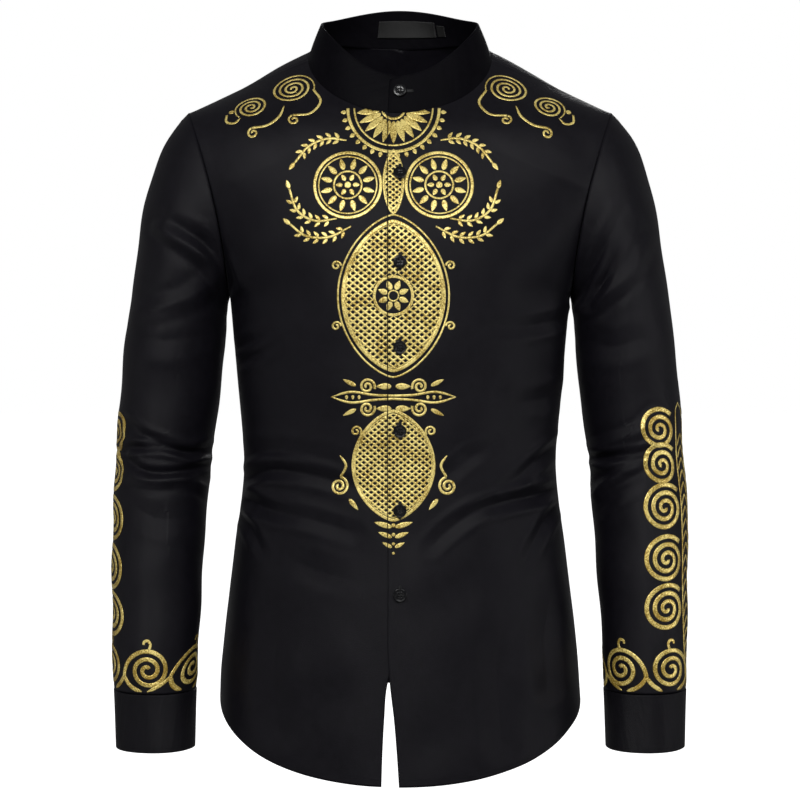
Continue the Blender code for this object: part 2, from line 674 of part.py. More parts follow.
def add_arms(collection):
    """The sleeves, their cuffs and the cuff buttons."""
    for word, side in (("left", 1), ("right", -1)):
        points = sleeve_points(side)
        middle = (side * SLEEVE_TABLE[0][1], 0.0)
        held = held_weights(points.shape[:2], held_low=2, held_top=2)
        points = add_folds(points, middle, held)
        points[:, -1] = points[:, 0]
        add_cloth("sleeve_" + word, [points], CLOTH, CLOTH_BLACK, collection)
        cuff = cuff_points(side)
        add_cloth("cuff_" + word, [cuff], BAND, CLOTH_BLACK, collection)
        lap_column = int(CUFF_LAP / 2 / (360 + CUFF_LAP) * (CUFF_COLUMNS - 1))
        place, normal = facet(cuff, 0, lap_column, (*middle, CUFF_TOP_Z))
        lifted = place + normal * (BAND / 2 + BUTTON_SEAT)
        add_button("button_cuff_" + word, lifted, normal, collection)


def add_front_buttons(front_left, collection):
    """Six buttons down the front."""
    for number, z in enumerate(FRONT_BUTTON_HEIGHTS, 1):
        place, normal = surface_point(front_left, 0.0, z)
        lifted = place + normal * (CLOTH / 2 + BUTTON_SEAT)
        add_button("button_" + str(number), lifted, normal, collection)


def add_collar(collection):
    """The collar with its button, neck label and size tab."""
    points = collar_points()
    add_cloth("collar", [points], BAND, CLOTH_BLACK, collection)
    outer_end = points[:, :4]
    place, normal = surface_point(outer_end, 0.0, COLLAR_BUTTON_Z)
    add_button("button_collar", place + normal * (BAND / 2 + BUTTON_SEAT), normal, collection)
    wall = BAND / 2 + GAP + LABEL_CLOTH / 2
    inside = points - outward_normals(points, (0.0, NECK_CENTRE_Y)) * wall
    middle_row = inside[len(COLLAR_RISES) // 2]
    behind = np.flatnonzero(middle_row[:, 1] > 0)
    steps = behind[::-1]
    for name, across, rises in (("neck_label", LABEL_X, LABEL_RISES), ("size_tab", TAB_X, TAB_RISES)):
        ends = np.interp(across, middle_row[steps, 0], steps)
        whole = [step for step in range(len(middle_row)) if min(ends) < step < max(ends)]
        columns = np.unique(np.concatenate([ends, whole]))
        rows = np.interp(rises, COLLAR_RISES, range(len(COLLAR_RISES)))
        between = [row for row in range(len(COLLAR_RISES)) if rows[0] < row < rows[1]]
        patch = patch_on(inside, np.unique(np.concatenate([rows, between])), columns)
        add_cloth(name, [patch], LABEL_CLOTH, SATIN_BLACK, collection)


def main():
    """Builds the shirt."""
    clear_scene()
    collection = bpy.data.collections.new(OBJECT_NAME)
    bpy.context.scene.collection.children.link(collection)
    front_left = add_body(collection)
    add_arms(collection)
    add_collar(collection)
    add_front_buttons(front_left, collection)


main()
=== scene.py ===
# %% [markdown]
# # A black print shirt, step by step
# The shirt is slim and long-sleeved, with a stand collar, seven buttons and a gold print. It has the hollow
# shape of a shirt that is being worn, with nobody in it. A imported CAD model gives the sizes. This file puts
# cloth, thread, buttons and foil in the place of its plain solids. Everything is in metres, +Z is up, the
# front faces -Y, and the wearer's left is at +X.

import math

import bmesh
import bpy
import numpy as np
from mathutils import Matrix, Vector
from mathutils.bvhtree import BVHTree


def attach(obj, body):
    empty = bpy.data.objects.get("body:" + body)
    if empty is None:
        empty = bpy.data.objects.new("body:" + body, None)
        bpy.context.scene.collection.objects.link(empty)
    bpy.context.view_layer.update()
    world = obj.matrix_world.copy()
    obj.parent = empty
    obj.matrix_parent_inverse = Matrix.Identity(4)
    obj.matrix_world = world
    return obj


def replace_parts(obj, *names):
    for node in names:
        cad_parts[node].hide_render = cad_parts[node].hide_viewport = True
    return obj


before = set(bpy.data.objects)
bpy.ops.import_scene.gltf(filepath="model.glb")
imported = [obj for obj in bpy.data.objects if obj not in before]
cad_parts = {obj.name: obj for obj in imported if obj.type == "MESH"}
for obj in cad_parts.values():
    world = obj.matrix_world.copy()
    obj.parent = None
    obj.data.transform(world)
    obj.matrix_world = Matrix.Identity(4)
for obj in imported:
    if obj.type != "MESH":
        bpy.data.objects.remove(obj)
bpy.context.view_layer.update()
bpy.ops.object.select_all(action="DESELECT")

# %% [markdown]
# ## The camera
# The photograph was taken from straight ahead at the height of the shirt's middle. A long lens from three
# metres away keeps the near chest and the far back of the collar close in size, as they are there.

# %% Camera
VIEW_DISTANCE = 3.0
VIEW_HEIGHT = -0.350
VIEW_WIDTH = 0.824
SENSOR = 36.0

bpy.ops.object.camera_add(location=(0, -VIEW_DISTANCE, VIEW_HEIGHT), rotation=(math.radians(90), 0, 0))
camera = bpy.context.object
camera.data.sensor_width = SENSOR
camera.data.lens = SENSOR * VIEW_DISTANCE / VIEW_WIDTH
bpy.context.scene.camera = camera
print("lens", round(camera.data.lens, 1), "mm")

# %% [markdown]
# ## The studio
# Black cloth shows its folds only by the light that slides along them. So two soft lamps hang in front and
# above, a weaker one stands at each side, one fills in from low in front, and one lights the back. The room
# itself is pale. The floor is a plain pale sheet below the hem, because the shirt is carried by its wearer
# and does not stand on it.

# %% World, floor and lamps
FLOOR_Z = -0.86
ROOM_STRENGTH = 0.17
WHITE = (1, 1, 1, 1)
# Name, place, height on the middle line that the lamp is aimed at, width, watts
LAMPS = (
    ("key_left", (-1.0, -3.2, 1.4), -0.35, 1.2, 60),
    ("key_right", (1.1, -3.2, 1.4), -0.35, 1.2, 46),
    ("side_left", (-3.2, -0.8, -0.5), -0.45, 1.2, 9),
    ("side_right", (3.2, -0.8, -0.5), -0.45, 1.2, 22),
    ("low_front", (0.0, -3.4, -1.5), -0.45, 1.0, 7),
    ("behind", (0.4, 3.4, 0.8), -0.35, 1.2, 16),
)

scene = bpy.context.scene
scene.view_settings.view_transform = "Standard"
scene.view_settings.look = "None"
world = bpy.data.worlds.new("studio")
scene.world = world
world.use_nodes = True
room = world.node_tree
backdrop = room.nodes["Background"]
backdrop.inputs["Color"].default_value = WHITE
backdrop.inputs["Strength"].default_value = ROOM_STRENGTH
seen_backdrop = room.nodes.new("ShaderNodeBackground")
seen_backdrop.inputs["Color"].default_value = WHITE
path = room.nodes.new("ShaderNodeLightPath")
choose = room.nodes.new("ShaderNodeMixShader")
room.links.new(path.outputs["Is Camera Ray"], choose.inputs["Fac"])
room.links.new(backdrop.outputs["Background"], choose.inputs[1])
room.links.new(seen_backdrop.outputs["Background"], choose.inputs[2])
room.links.new(choose.outputs["Shader"], room.nodes["World Output"].inputs["Surface"])

for name, place, aim_z, width, watts in LAMPS:
    bpy.ops.object.light_add(type="AREA", location=place)
    lamp = bpy.context.object
    lamp.name = name
    lamp.data.shape = "SQUARE"
    lamp.data.size = width
    lamp.data.energy = watts
    lamp.rotation_euler = (Vector((0, 0, aim_z)) - Vector(place)).to_track_quat("-Z", "Y").to_euler()
bpy.ops.mesh.primitive_plane_add(size=200, location=(0, 0, FLOOR_Z))
floor = bpy.context.object
floor.name = "floor"
floor.visible_diffuse = floor.visible_glossy = False
paint = bpy.data.materials.new("pale_floor")
paint.use_nodes = True
paper = paint.node_tree.nodes["Principled BSDF"]
paper.inputs["Base Color"].default_value = (0.9, 0.9, 0.9, 1)
paper.inputs["Roughness"].default_value = 0.9
paper.inputs["Emission Color"].default_value = WHITE
paper.inputs["Emission Strength"].default_value = 1.0
floor.data.materials.append(paint)
print(len(LAMPS), "lamps and a floor at", FLOOR_Z)

# %% [markdown]
# ## Materials as expressions
# A material is a chain of small sums. `Finish` starts one and adds any node to it. `Value` wraps a node's
# output, so that a sum in Python adds the Math nodes for it. Only things that change over the surface are
# built that way. A number that is the same all over goes straight on the shader's own socket.


# %% Helpers for materials
class Value:
    """A number or colour that a node gives, with the operators of arithmetic."""

    def __init__(self, finish, socket):
        self.finish = finish
        self.socket = socket

    def op(self, operation, *others):
        return self.finish.math(operation, self, *others)

    def __add__(self, other):
        return self.op("ADD", other)

    def __radd__(self, other):
        return self.op("ADD", other)

    def __sub__(self, other):
        return self.op("SUBTRACT", other)

    def __rsub__(self, other):
        return self.finish.math("SUBTRACT", other, self)

    def __mul__(self, other):
        return self.op("MULTIPLY", other)

    def __rmul__(self, other):
        return self.op("MULTIPLY", other)

    def __truediv__(self, other):
        return self.op("DIVIDE", other)

    def __rtruediv__(self, other):
        return self.finish.math("DIVIDE", other, self)


class Finish:
    """One material: its shader, and the nodes that feed it."""

    def __init__(self, name, **constants):
        self.material = bpy.data.materials.new(name)
        self.material.use_nodes = True
        self.tree = self.material.node_tree
        self.shader = self.tree.nodes["Principled BSDF"]
        for socket, value in constants.items():
            self.shader.inputs[socket.replace("_", " ")].default_value = value

    def add(self, kind, settings=None, sockets=None, out=0):
        """Adds a node, sets it up, joins its sockets and gives one of its outputs."""
        node = self.tree.nodes.new(kind)
        for name, value in (settings or {}).items():
            setattr(node, name, value)
        for name, value in (sockets or {}).items():
            self.join(node.inputs[name], value)
        return Value(self, node.outputs[out])

    def math(self, operation, *values):
        """One sum of values and plain numbers."""
        return self.add("ShaderNodeMath", {"operation": operation}, dict(enumerate(values)))

    def join(self, socket, value):
        """Sets a socket, by a link if the value comes from a node."""
        if isinstance(value, Value):
            self.tree.links.new(value.socket, socket)
        else:
            socket.default_value = value

    def feed(self, **sockets):
        """Joins values to the shader's own sockets."""
        for name, value in sockets.items():
            self.join(self.shader.inputs[name.replace("_", " ")], value)

    def mix(self, share, first, second):
        """A colour between two others."""
        sockets = {"Factor": share, 6: first, 7: second}
        return self.add("ShaderNodeMix", {"data_type": "RGBA"}, sockets, out=2)

    def noise(self, size, detail=2.0, vector=None):
        """Soft random patches about this many metres wide."""
        sockets = {"Scale": 1 / size, "Detail": detail}
        sockets["Vector"] = vector or self.add("ShaderNodeTexCoord", out=3)
        return self.add("ShaderNodeTexNoise", None, sockets)

    def bump(self, height, strength):
        """A normal bent by a height in metres."""
        sockets = {"Height": height, "Strength": strength, "Distance": 1.0}
        return self.add("ShaderNodeBump", None, sockets)


def shade_of(colour, share):
    """A colour made darker or paler by a share."""
    return (*(channel * share for channel in colour[:3]), 1.0)


print("helpers ready")

# %% [markdown]
# ## The cloth's finish
# The shirt is a smooth black polyester with a little satin in it: nearly black, faintly purple, with a soft
# sheen on the folds. Its diagonal weave is about half a millimetre wide. The weave follows the cloth, so it
# reads a UV map that is laid out in metres on every panel. A second attribute holds how far each point is
# from the nearest sewn edge, and the stitches of the hems follow that.

# %% Cloth
WEAVE = 0.0006
STITCH_INSET = 0.0066
STITCH_LENGTH = 0.0026
STITCH_WIDTH = 0.0005
STITCH_GAP = 0.22
THREAD_DARK = (0.0034, 0.0030, 0.0046)
THREAD_PALE = (0.0074, 0.0067, 0.0098)
SHEEN_TINT = (0.75, 0.77, 0.85, 1.0)
# Heights of the small relief on the cloth
TWILL_RISE, STITCH_RISE, GRAIN_RISE = 0.00003, 0.00025, 0.00010
CREASE_AT_FOLDS, CREASE_ELSEWHERE = 0.0015, 0.0002


def cloth_finish(name, lift, shine, wrinkle=0.0):
    """Black cloth. Lift scales its threads' colour, and below 1 it darkens a copy of the cloth as painted
    shade;
    shine says how much they reflect, wrinkle how high the upright wrinkles of a stiffened band are."""
    finish = Finish(name, Metallic=0.0, Specular_IOR_Level=shine, Sheen_Weight=0.016, Sheen_Roughness=0.35)
    finish.shader.inputs["Sheen Tint"].default_value = SHEEN_TINT
    layout = finish.add("ShaderNodeUVMap", {"uv_map": "cloth"})
    across = finish.add("ShaderNodeSeparateXYZ", None, {0: layout}, out=0)
    along = finish.add("ShaderNodeSeparateXYZ", None, {0: layout}, out=1)
    twill = ((across + along * 1.6) * (2 * math.pi / WEAVE)).op("SINE")
    patches = finish.noise(0.09)
    grain = finish.noise(0.0016, detail=1.0)
    from_edge = finish.add("ShaderNodeAttribute", {"attribute_name": "edge"}, out=2)
    off_row = (from_edge - STITCH_INSET).op("ABSOLUTE")
    row = off_row.op("LESS_THAN", STITCH_WIDTH)
    dash = ((across + along) / STITCH_LENGTH).op("FRACT")
    stitched = row * dash.op("GREATER_THAN", STITCH_GAP)
    mottle = finish.noise(0.009, detail=3.0)
    shade = patches * 0.4 + grain * 0.5 + mottle * 0.9 - 0.42
    finish.feed(Base_Color=finish.mix(shade, shade_of(THREAD_DARK, lift), shade_of(THREAD_PALE, lift)))
    finish.feed(Roughness=patches * 0.10 + 0.36 + mottle * 0.12)
    near_fold = finish.add("ShaderNodeAttribute", {"attribute_name": "crumple"}, out=2)
    bends = finish.noise(0.085, detail=1.0)
    off_bend = (bends - 0.5) * 8.0
    valley = (off_bend * off_bend * -1.0).op("EXPONENT")
    crease = valley * (near_fold * -CREASE_AT_FOLDS - CREASE_ELSEWHERE)
    height = twill * TWILL_RISE + stitched * STITCH_RISE + crease + grain * GRAIN_RISE
    if wrinkle:
        drawn_out = finish.add("ShaderNodeCombineXYZ", None, {0: across, 1: along * 0.22})
        height = height + finish.noise(0.011, vector=drawn_out) * wrinkle
    finish.feed(Normal=finish.bump(height, 0.6))
    return finish.material


# The cuffs and the collar are the same black cloth with their threads darkened to 0.80 and 0.50 as painted
# shade, and the collar also shines less.
cloth_black = cloth_finish("black_cloth", 1.0, 0.13)
cuff_shaded_black = cloth_finish("black_cuff_cloth_painted_shade", 0.80, 0.13, 0.0022)
collar_shaded_black = cloth_finish("black_collar_cloth_painted_shade", 0.50, 0.03, 0.0006)
print("cloth finishes ready")

# %% [markdown]
# ## The curves of the cut
# Each panel is a grid laid through a few curves: the body's width and depth at each height, the neckline,
# the armhole and the sleeve's sections. The CAD solids were drawn through the same tables, so each panel
# comes out where its solid is, only with much finer rows.

# %% Tables
SIDES = {"left": 1, "right": -1}
CLOTH = 0.0010
BAND = 0.0022
UNDERARM_Z, SIDE_HEM_Z, FRONT_HEM_Z, BACK_HEM_Z = -0.245, -0.649, -0.733, -0.653
CUFF_TOP_Z, CUFF_LOW_Z = -0.6430, -0.7015
NECK = {"y": -0.006, "width": 0.0930, "depth": 0.0620, "wave": (-0.0105, -0.0411, -0.0105, 0.0021)}
COLLAR_TOP = {"y": -0.004, "width": 0.0800, "depth": 0.0540, "wave": (0.0268, -0.0345, -0.0092, -0.0053)}
LAP, LAP_BLEND, LAP_STEP = 0.012, 0.050, 0.0016
# The left armhole: its middle, how far it leans out at the shoulder, and its reach to each side
ARMHOLE = {"x": 0.1745, "y": 0.004, "z": -0.150, "lean": 0.0425, "front": 0.068, "back": 0.072, "up": 0.095}
# Height, and how far each front's edge lies across
PARTING = (
    (-0.545, -0.0120, 0.0120),
    (-0.590, -0.0124, 0.0020),
    (-0.633, -0.0098, -0.0129),
    (-0.666, -0.0060, -0.0158),
    (-0.700, -0.0032, -0.0177),
    (-0.733, -0.0010, -0.0188),
)
SECTION_ROUNDNESS = 0.60
# Height, half width, front depth, back depth
TORSO = (
    (-0.245, 0.1745, 0.1220, 0.1190),
    (-0.288, 0.1705, 0.1215, 0.1140),
    (-0.330, 0.1668, 0.1190, 0.1070),
    (-0.371, 0.1630, 0.1165, 0.1010),
    (-0.412, 0.1600, 0.1150, 0.0985),
    (-0.453, 0.1630, 0.1155, 0.1000),
    (-0.494, 0.1688, 0.1170, 0.1050),
    (-0.536, 0.1738, 0.1185, 0.1110),
    (-0.577, 0.1790, 0.1200, 0.1160),
    (-0.618, 0.1830, 0.1210, 0.1190),
    (-0.649, 0.1848, 0.1215, 0.1200),
    (-0.733, 0.1860, 0.1225, 0.1210),
)
FRONT_RISE = ((-0.245, 0.1220), (-0.200, 0.1195), (-0.150, 0.1095), (-0.100, 0.0890), (-0.0595, 0.0675))
BACK_RISE = (
    (-0.245, 0.1190),
    (-0.190, 0.1215),
    (-0.130, 0.1170),
    (-0.070, 0.0990),
    (-0.020, 0.0750),
    (0.018, 0.0560),
)
# Share up the armhole, armhole angle, reach on leaving the middle, reach on arriving at the armhole
FRONT_YOKE = (
    (0.00, 180.0, 0.1047, 0.000, 0.000, 0.000, 0.0730, 0.000),
    (0.20, 146.0, 0.1000, 0.000, 0.000, 0.017, 0.0600, -0.003),
    (0.40, 113.0, 0.0900, 0.000, 0.000, 0.037, 0.0460, -0.010),
    (0.60, 82.0, 0.0700, -0.0115, -0.022, 0.049, 0.0330, -0.019),
    (0.73, 57.0, 0.0580, -0.0110, -0.017, 0.049, 0.0210, -0.023),
    (0.87, 27.0, 0.0470, -0.008, -0.016, 0.046, 0.0090, -0.022),
    (1.00, 0.0, 0.0420, 0.000, -0.0165, 0.043, 0.0000, -0.019),
)
BACK_YOKE = (
    (0.00, 180.0, 0.1047, 0.000, 0.000, 0.000, -0.0714, 0.000),
    (0.22, 143.0, 0.1030, 0.000, 0.000, 0.018, -0.0560, -0.003),
    (0.44, 107.0, 0.0980, 0.000, 0.000, 0.036, -0.0440, -0.010),
    (0.66, 70.0, 0.0780, 0.000, -0.008, 0.048, -0.0260, -0.020),
    (0.83, 34.0, 0.0560, 0.008, -0.015, 0.046, -0.0110, -0.022),
    (1.00, 0.0, 0.0420, 0.000, -0.0165, 0.043, 0.0000, -0.019),
)
NECK_SHARE = {-1: 0.60, 1: 0.66}
# Height, middle across, half width, middle front to back, half depth
SLEEVE = (
    (-0.247, 0.2271, 0.0505, 0.0010, 0.0660),
    (-0.288, 0.2310, 0.0512, 0.0020, 0.0645),
    (-0.330, 0.2354, 0.0508, 0.0030, 0.0620),
    (-0.371, 0.2392, 0.0502, 0.0030, 0.0595),
    (-0.412, 0.2434, 0.0478, 0.0010, 0.0575),
    (-0.453, 0.2462, 0.0482, -0.0040, 0.0560),
    (-0.494, 0.2474, 0.0470, -0.0110, 0.0535),
    (-0.536, 0.2486, 0.0455, -0.0180, 0.0505),
    (-0.577, 0.2490, 0.0436, -0.0250, 0.0470),
    (-0.618, 0.2494, 0.0426, -0.0310, 0.0430),
    (-0.643, 0.2492, 0.0412, -0.0340, 0.0400),
    (-0.7015, 0.2488, 0.0392, -0.0400, 0.0370),
)
SLEEVE_HEAD = {
    "top": (0.047, 0.000, -0.037, 0.014, 0.0, -0.080),
    "side": (0.036, 0.011, -0.036, 0.010, 0.0, -0.045),
    "underarm": (0.003, 0.000, -0.015, 0.002, 0.0, -0.018),
}
BICEP_Z, BICEP_TILT, WRIST_DIP = -0.280, 0.020, 0.09
SHOULDER_SEAT, SIDE_SEAT = 0.0009, 0.0003
SEAT_TOP, SEAT_SIDE = 0.0006, 0.0008
print("tables for", len(TORSO), "body sections and", len(SLEEVE), "sleeve sections")

# %% [markdown]
# ## Reading the curves
# Between two rows of a table the values follow a smooth curve. The necklines and armholes are closed curves
# with a formula of their own, and most other lines are cubic curves between two points.

# %% Curves
def read_table(table, key):
    """Reads a table smoothly between its rows. The first column is the key."""
    rows = np.array(table, float)
    if rows[0, 0] > rows[-1, 0]:
        rows = rows[::-1]
    keys, values = rows[:, 0], rows[:, 1:]
    slopes = np.gradient(values, keys, axis=0)
    key = np.clip(np.asarray(key, float), keys[0], keys[-1])
    i = np.clip(np.searchsorted(keys, key, side="right") - 1, 0, len(keys) - 2)
    step = (keys[i + 1] - keys[i])[..., None]
    t = (key - keys[i])[..., None] / step
    left = values[i] * (1 + 2 * t) * (1 - t) ** 2 + slopes[i] * step * t * (1 - t) ** 2
    return left + values[i + 1] * t**2 * (3 - 2 * t) + slopes[i + 1] * step * t**2 * (t - 1)


def ease(t):
    """A smooth step from 0 to 1."""
    t = np.clip(t, 0.0, 1.0)
    return t * t * (3 - 2 * t)


def bezier(p0, p1, p2, p3, t):
    """Points on a cubic curve, for an array of shares t."""
    t = np.asarray(t, float)[..., None]
    return p0 * (1 - t) ** 3 + 3 * p1 * (1 - t) ** 2 * t + 3 * p2 * (1 - t) * t**2 + p3 * t**3


def spread(points, count):
    """The same curve with its points evenly spaced along it."""
    steps = np.linalg.norm(np.diff(points, axis=0), axis=1)
    along = np.concatenate([[0], np.cumsum(steps)])
    places = np.linspace(0, along[-1], count)
    return np.stack([np.interp(places, along, points[:, axis]) for axis in range(points.shape[1])], -1)


def band_point(edge, angle):
    """A point on the neckline or on the collar's top edge. Angle 0 is the front."""
    height = sum(term * np.cos(n * angle) for n, term in enumerate(edge["wave"]))
    return np.stack([edge["width"] * np.sin(angle), edge["y"] - edge["depth"] * np.cos(angle), height], -1)


def armhole_point(angle):
    """A point on the left armhole. Angle 0 is the shoulder tip, 90 degrees the back, 180 the underarm."""
    share_up = (1 + np.cos(angle)) / 2
    depth = np.where(np.sin(angle) > 0, ARMHOLE["back"], ARMHOLE["front"])
    x = ARMHOLE["x"] + ARMHOLE["lean"] * share_up**1.8
    y = ARMHOLE["y"] + depth * np.sin(angle)
    return np.stack([x, y, ARMHOLE["z"] + ARMHOLE["up"] * np.cos(angle)], -1)


def normals(points):
    """Unit normals at the points of a grid."""
    normal = np.cross(np.gradient(points, axis=1), np.gradient(points, axis=0))
    return normal / np.maximum(np.linalg.norm(normal, axis=-1, keepdims=True), 1e-12)


def outward(points, centre_xy=(0.0, 0.0)):
    """Normals turned away from an upright axis."""
    normal = normals(points)
    inward = (normal[..., :2] * (points[..., :2] - np.array(centre_xy))).sum(-1) < 0
    return np.where(inward[..., None], -normal, normal)


print("neckline from", band_point(NECK, np.array([0.0, math.pi]))[:, 2].round(3))

# %% [markdown]
# ## The body panels
# A shirt's body is two fronts and a back, sewn at the sides and shoulders. Below the armholes a row of the
# grid runs round a rounded section. Above them it runs from the centre, or from the neckline, to the
# armhole. The left front laps over the right one, so both are shifted half a step along their normals there.

# %% Panel grids
SAMPLES = 420
LOW_ROWS = {-1: 212, 1: 152}
YOKE_ROWS = {-1: (62, 46), 1: (60, 38)}
CORNER_RAMP = 0.15
RELAX_ROUNDS = 40
# Columns at a panel's first and last edge over which the relaxing fades out
RELAX_FIRST, RELAX_LAST = 6, 12


def torso_row(share_up, facing, edge_x):
    """One row below the armholes, from the front edge or centre back to the side seam."""
    hem = FRONT_HEM_Z if facing < 0 else BACK_HEM_Z
    centre_z = hem + (UNDERARM_Z - hem) * share_up
    side_z = SIDE_HEM_Z + (UNDERARM_Z - SIDE_HEM_Z) * share_up
    width = read_table(TORSO, centre_z)[0]
    t = np.linspace(edge_x / (3 * SECTION_ROUNDNESS * width), 1, SAMPLES)
    z = side_z - (side_z - centre_z) * np.cos(t * math.pi / 2)
    width, front, back = np.moveaxis(read_table(TORSO, z), -1, 0)
    across = 3 * (1 - t) ** 2 * t * SECTION_ROUNDNESS + 3 * (1 - t) * t**2 + t**3
    along = (1 - t) ** 3 + 3 * (1 - t) ** 2 * t + 3 * (1 - t) * t**2 * SECTION_ROUNDNESS
    depth = front if facing < 0 else back
    return np.stack([width * across, ARMHOLE["y"] * (1 - along) + facing * depth * along, z], -1)


def yoke_rows(facing, edge_x, columns):
    """The rows above the underarm, up to the shoulder seam."""
    table, rise = (FRONT_YOKE, FRONT_RISE) if facing < 0 else (BACK_YOKE, BACK_RISE)
    share = NECK_SHARE[facing]
    below, above = YOKE_ROWS[facing]
    levels = np.concatenate([np.linspace(0, share, below + 1)[1:], np.linspace(share, 1, above + 1)[1:]])
    first = -math.asin(LAP / NECK["width"]) if facing < 0 else math.pi
    corner = read_table(table, share)
    rows = []
    for level in levels:
        values = read_table(table, level)
        angle = math.radians(values[0])
        end = armhole_point(2 * math.pi - angle if facing < 0 else angle)
        leave, arrive = values[1:4].copy(), values[4:7]
        if level < share - 1e-6:
            leave[1:] = corner[2:4] * ease((level - share + CORNER_RAMP) / CORNER_RAMP)
            z = UNDERARM_Z + (rise[-1][0] - UNDERARM_Z) * level / share
            start = np.array([0.0, facing * read_table(rise, z)[0], z])
            low_t = edge_x / (3 * leave[0])
        else:
            start = band_point(NECK, first + (math.pi / 2 - first) * (level - share) / (1 - share))
            low_t = 0.0
        row = bezier(start, start + leave, end - arrive, end, np.linspace(low_t, 1, SAMPLES))
        rows.append(spread(row, columns))
    return rows


def relax(points):
    """Evens the rows out, so that no table's row shows as a crease. The edges keep their places."""
    columns = np.arange(points.shape[1])
    held = ease(columns / RELAX_FIRST) * ease((points.shape[1] - 1 - columns) / RELAX_LAST)
    for _ in range(RELAX_ROUNDS):
        middle = (points[2:] + points[:-2]) / 2
        points[1:-1] += (middle - points[1:-1]) * 0.5 * held[None, :, None]
    return points


def front_grid(side, columns=110):
    """The left (1) or right (-1) front, from its lapped edge to the side seam, hem to shoulder."""
    rows = []
    for share_up in np.linspace(0, 1, LOW_ROWS[-1]):
        z = FRONT_HEM_Z + (UNDERARM_Z - FRONT_HEM_Z) * share_up
        edge = side * read_table(PARTING, z)[0 if side > 0 else 1]
        rows.append(spread(torso_row(share_up, -1, edge), columns))
    points = relax(np.array(rows + yoke_rows(-1, -LAP, columns)))
    lapped = ease(1 - (np.abs(points[..., 0]) - LAP) / LAP_BLEND)
    points += outward(points) * (side * lapped * LAP_STEP / 2)[..., None]
    points[:-1, -1, 1] -= SIDE_SEAT / 2
    points[-1, :, 1] -= SHOULDER_SEAT / 2
    points[..., 0] *= side
    return points


def back_grid(columns=66):
    """The left half of the back, from the centre line to the side seam."""
    rows = [spread(torso_row(share_up, 1, 0.0), columns) for share_up in np.linspace(0, 1, LOW_ROWS[1])]
    half = relax(np.array(rows + yoke_rows(1, 0.0, columns)))
    half[:-1, -1, 1] += SIDE_SEAT / 2
    half[-1, :, 1] += SHOULDER_SEAT / 2
    return half


front_grids = {"left": front_grid(1), "right": front_grid(-1)}
back_half = back_grid()
print("front grid", front_grids["left"].shape[:2], "back half", back_half.shape[:2])

# %% [markdown]
# ## The sleeves
# A set-in sleeve is one piece, closed to a tube at the underarm. Its rings start on the armhole, swing out
# over the upper arm and hang down to the cuff. The first and last columns are the underarm seam.

# %% Sleeve grids
SLEEVE_COLUMNS = 137
HEAD_ROWS, ARM_ROWS = 50, 172
SLEEVE_END_GAP = 0.0008
SLEEVE_RELAX_ROUNDS = 30


def sleeve_ring(z, angle):
    """Points on the left sleeve below its head, for heights and angles of one shape."""
    middle_x, half_width, middle_y, half_depth = np.moveaxis(read_table(SLEEVE, z), -1, 0)
    return np.stack([middle_x + half_width * np.cos(angle), middle_y + half_depth * np.sin(angle), z], -1)


def sleeve_grid():
    """The left sleeve as rings from the armhole to the cuff."""
    angle = np.linspace(math.pi, 3 * math.pi, SLEEVE_COLUMNS)
    top, beside, under = (np.array(SLEEVE_HEAD[key]) for key in ("top", "side", "underarm"))
    up = np.clip(np.cos(angle), 0, 1)[:, None] ** 2
    down = np.clip(-np.cos(angle), 0, 1)[:, None] ** 2
    reach = up * top + down * under + (1 - up - down) * beside
    reach[:, 1] *= np.sin(angle)
    start = armhole_point(angle)
    low = ease((1 - np.cos(angle)) / 2)
    start[:, 0] += SEAT_TOP + (CLOTH + SEAT_TOP) * low + SEAT_SIDE * np.sin(angle) ** 2
    bicep_z = BICEP_Z + BICEP_TILT * np.cos(angle)
    end = sleeve_ring(bicep_z, angle)
    rings = []
    for t in np.linspace(0, 1, HEAD_ROWS + 1):
        rings.append(bezier(start, start + reach[:, :3], end - reach[:, 3:], end, np.full(len(angle), t)))
    for share in np.linspace(0, 1, ARM_ROWS + 1)[1:]:
        level = bicep_z + (CUFF_TOP_Z + SLEEVE_END_GAP - bicep_z) * share
        ring = sleeve_ring(level, angle)
        ring[:, 2] += WRIST_DIP * (ring[:, 1] - read_table(SLEEVE, level)[:, 2]) * ease(share)
        rings.append(ring)
    points = np.array(rings)
    for _ in range(SLEEVE_RELAX_ROUNDS):
        points[1:-1] += ((points[2:] + points[:-2]) / 2 - points[1:-1]) * 0.5
    points[:, -1] = points[:, 0]
    return points


sleeve_base = sleeve_grid()
print("sleeve grid", sleeve_base.shape[:2])
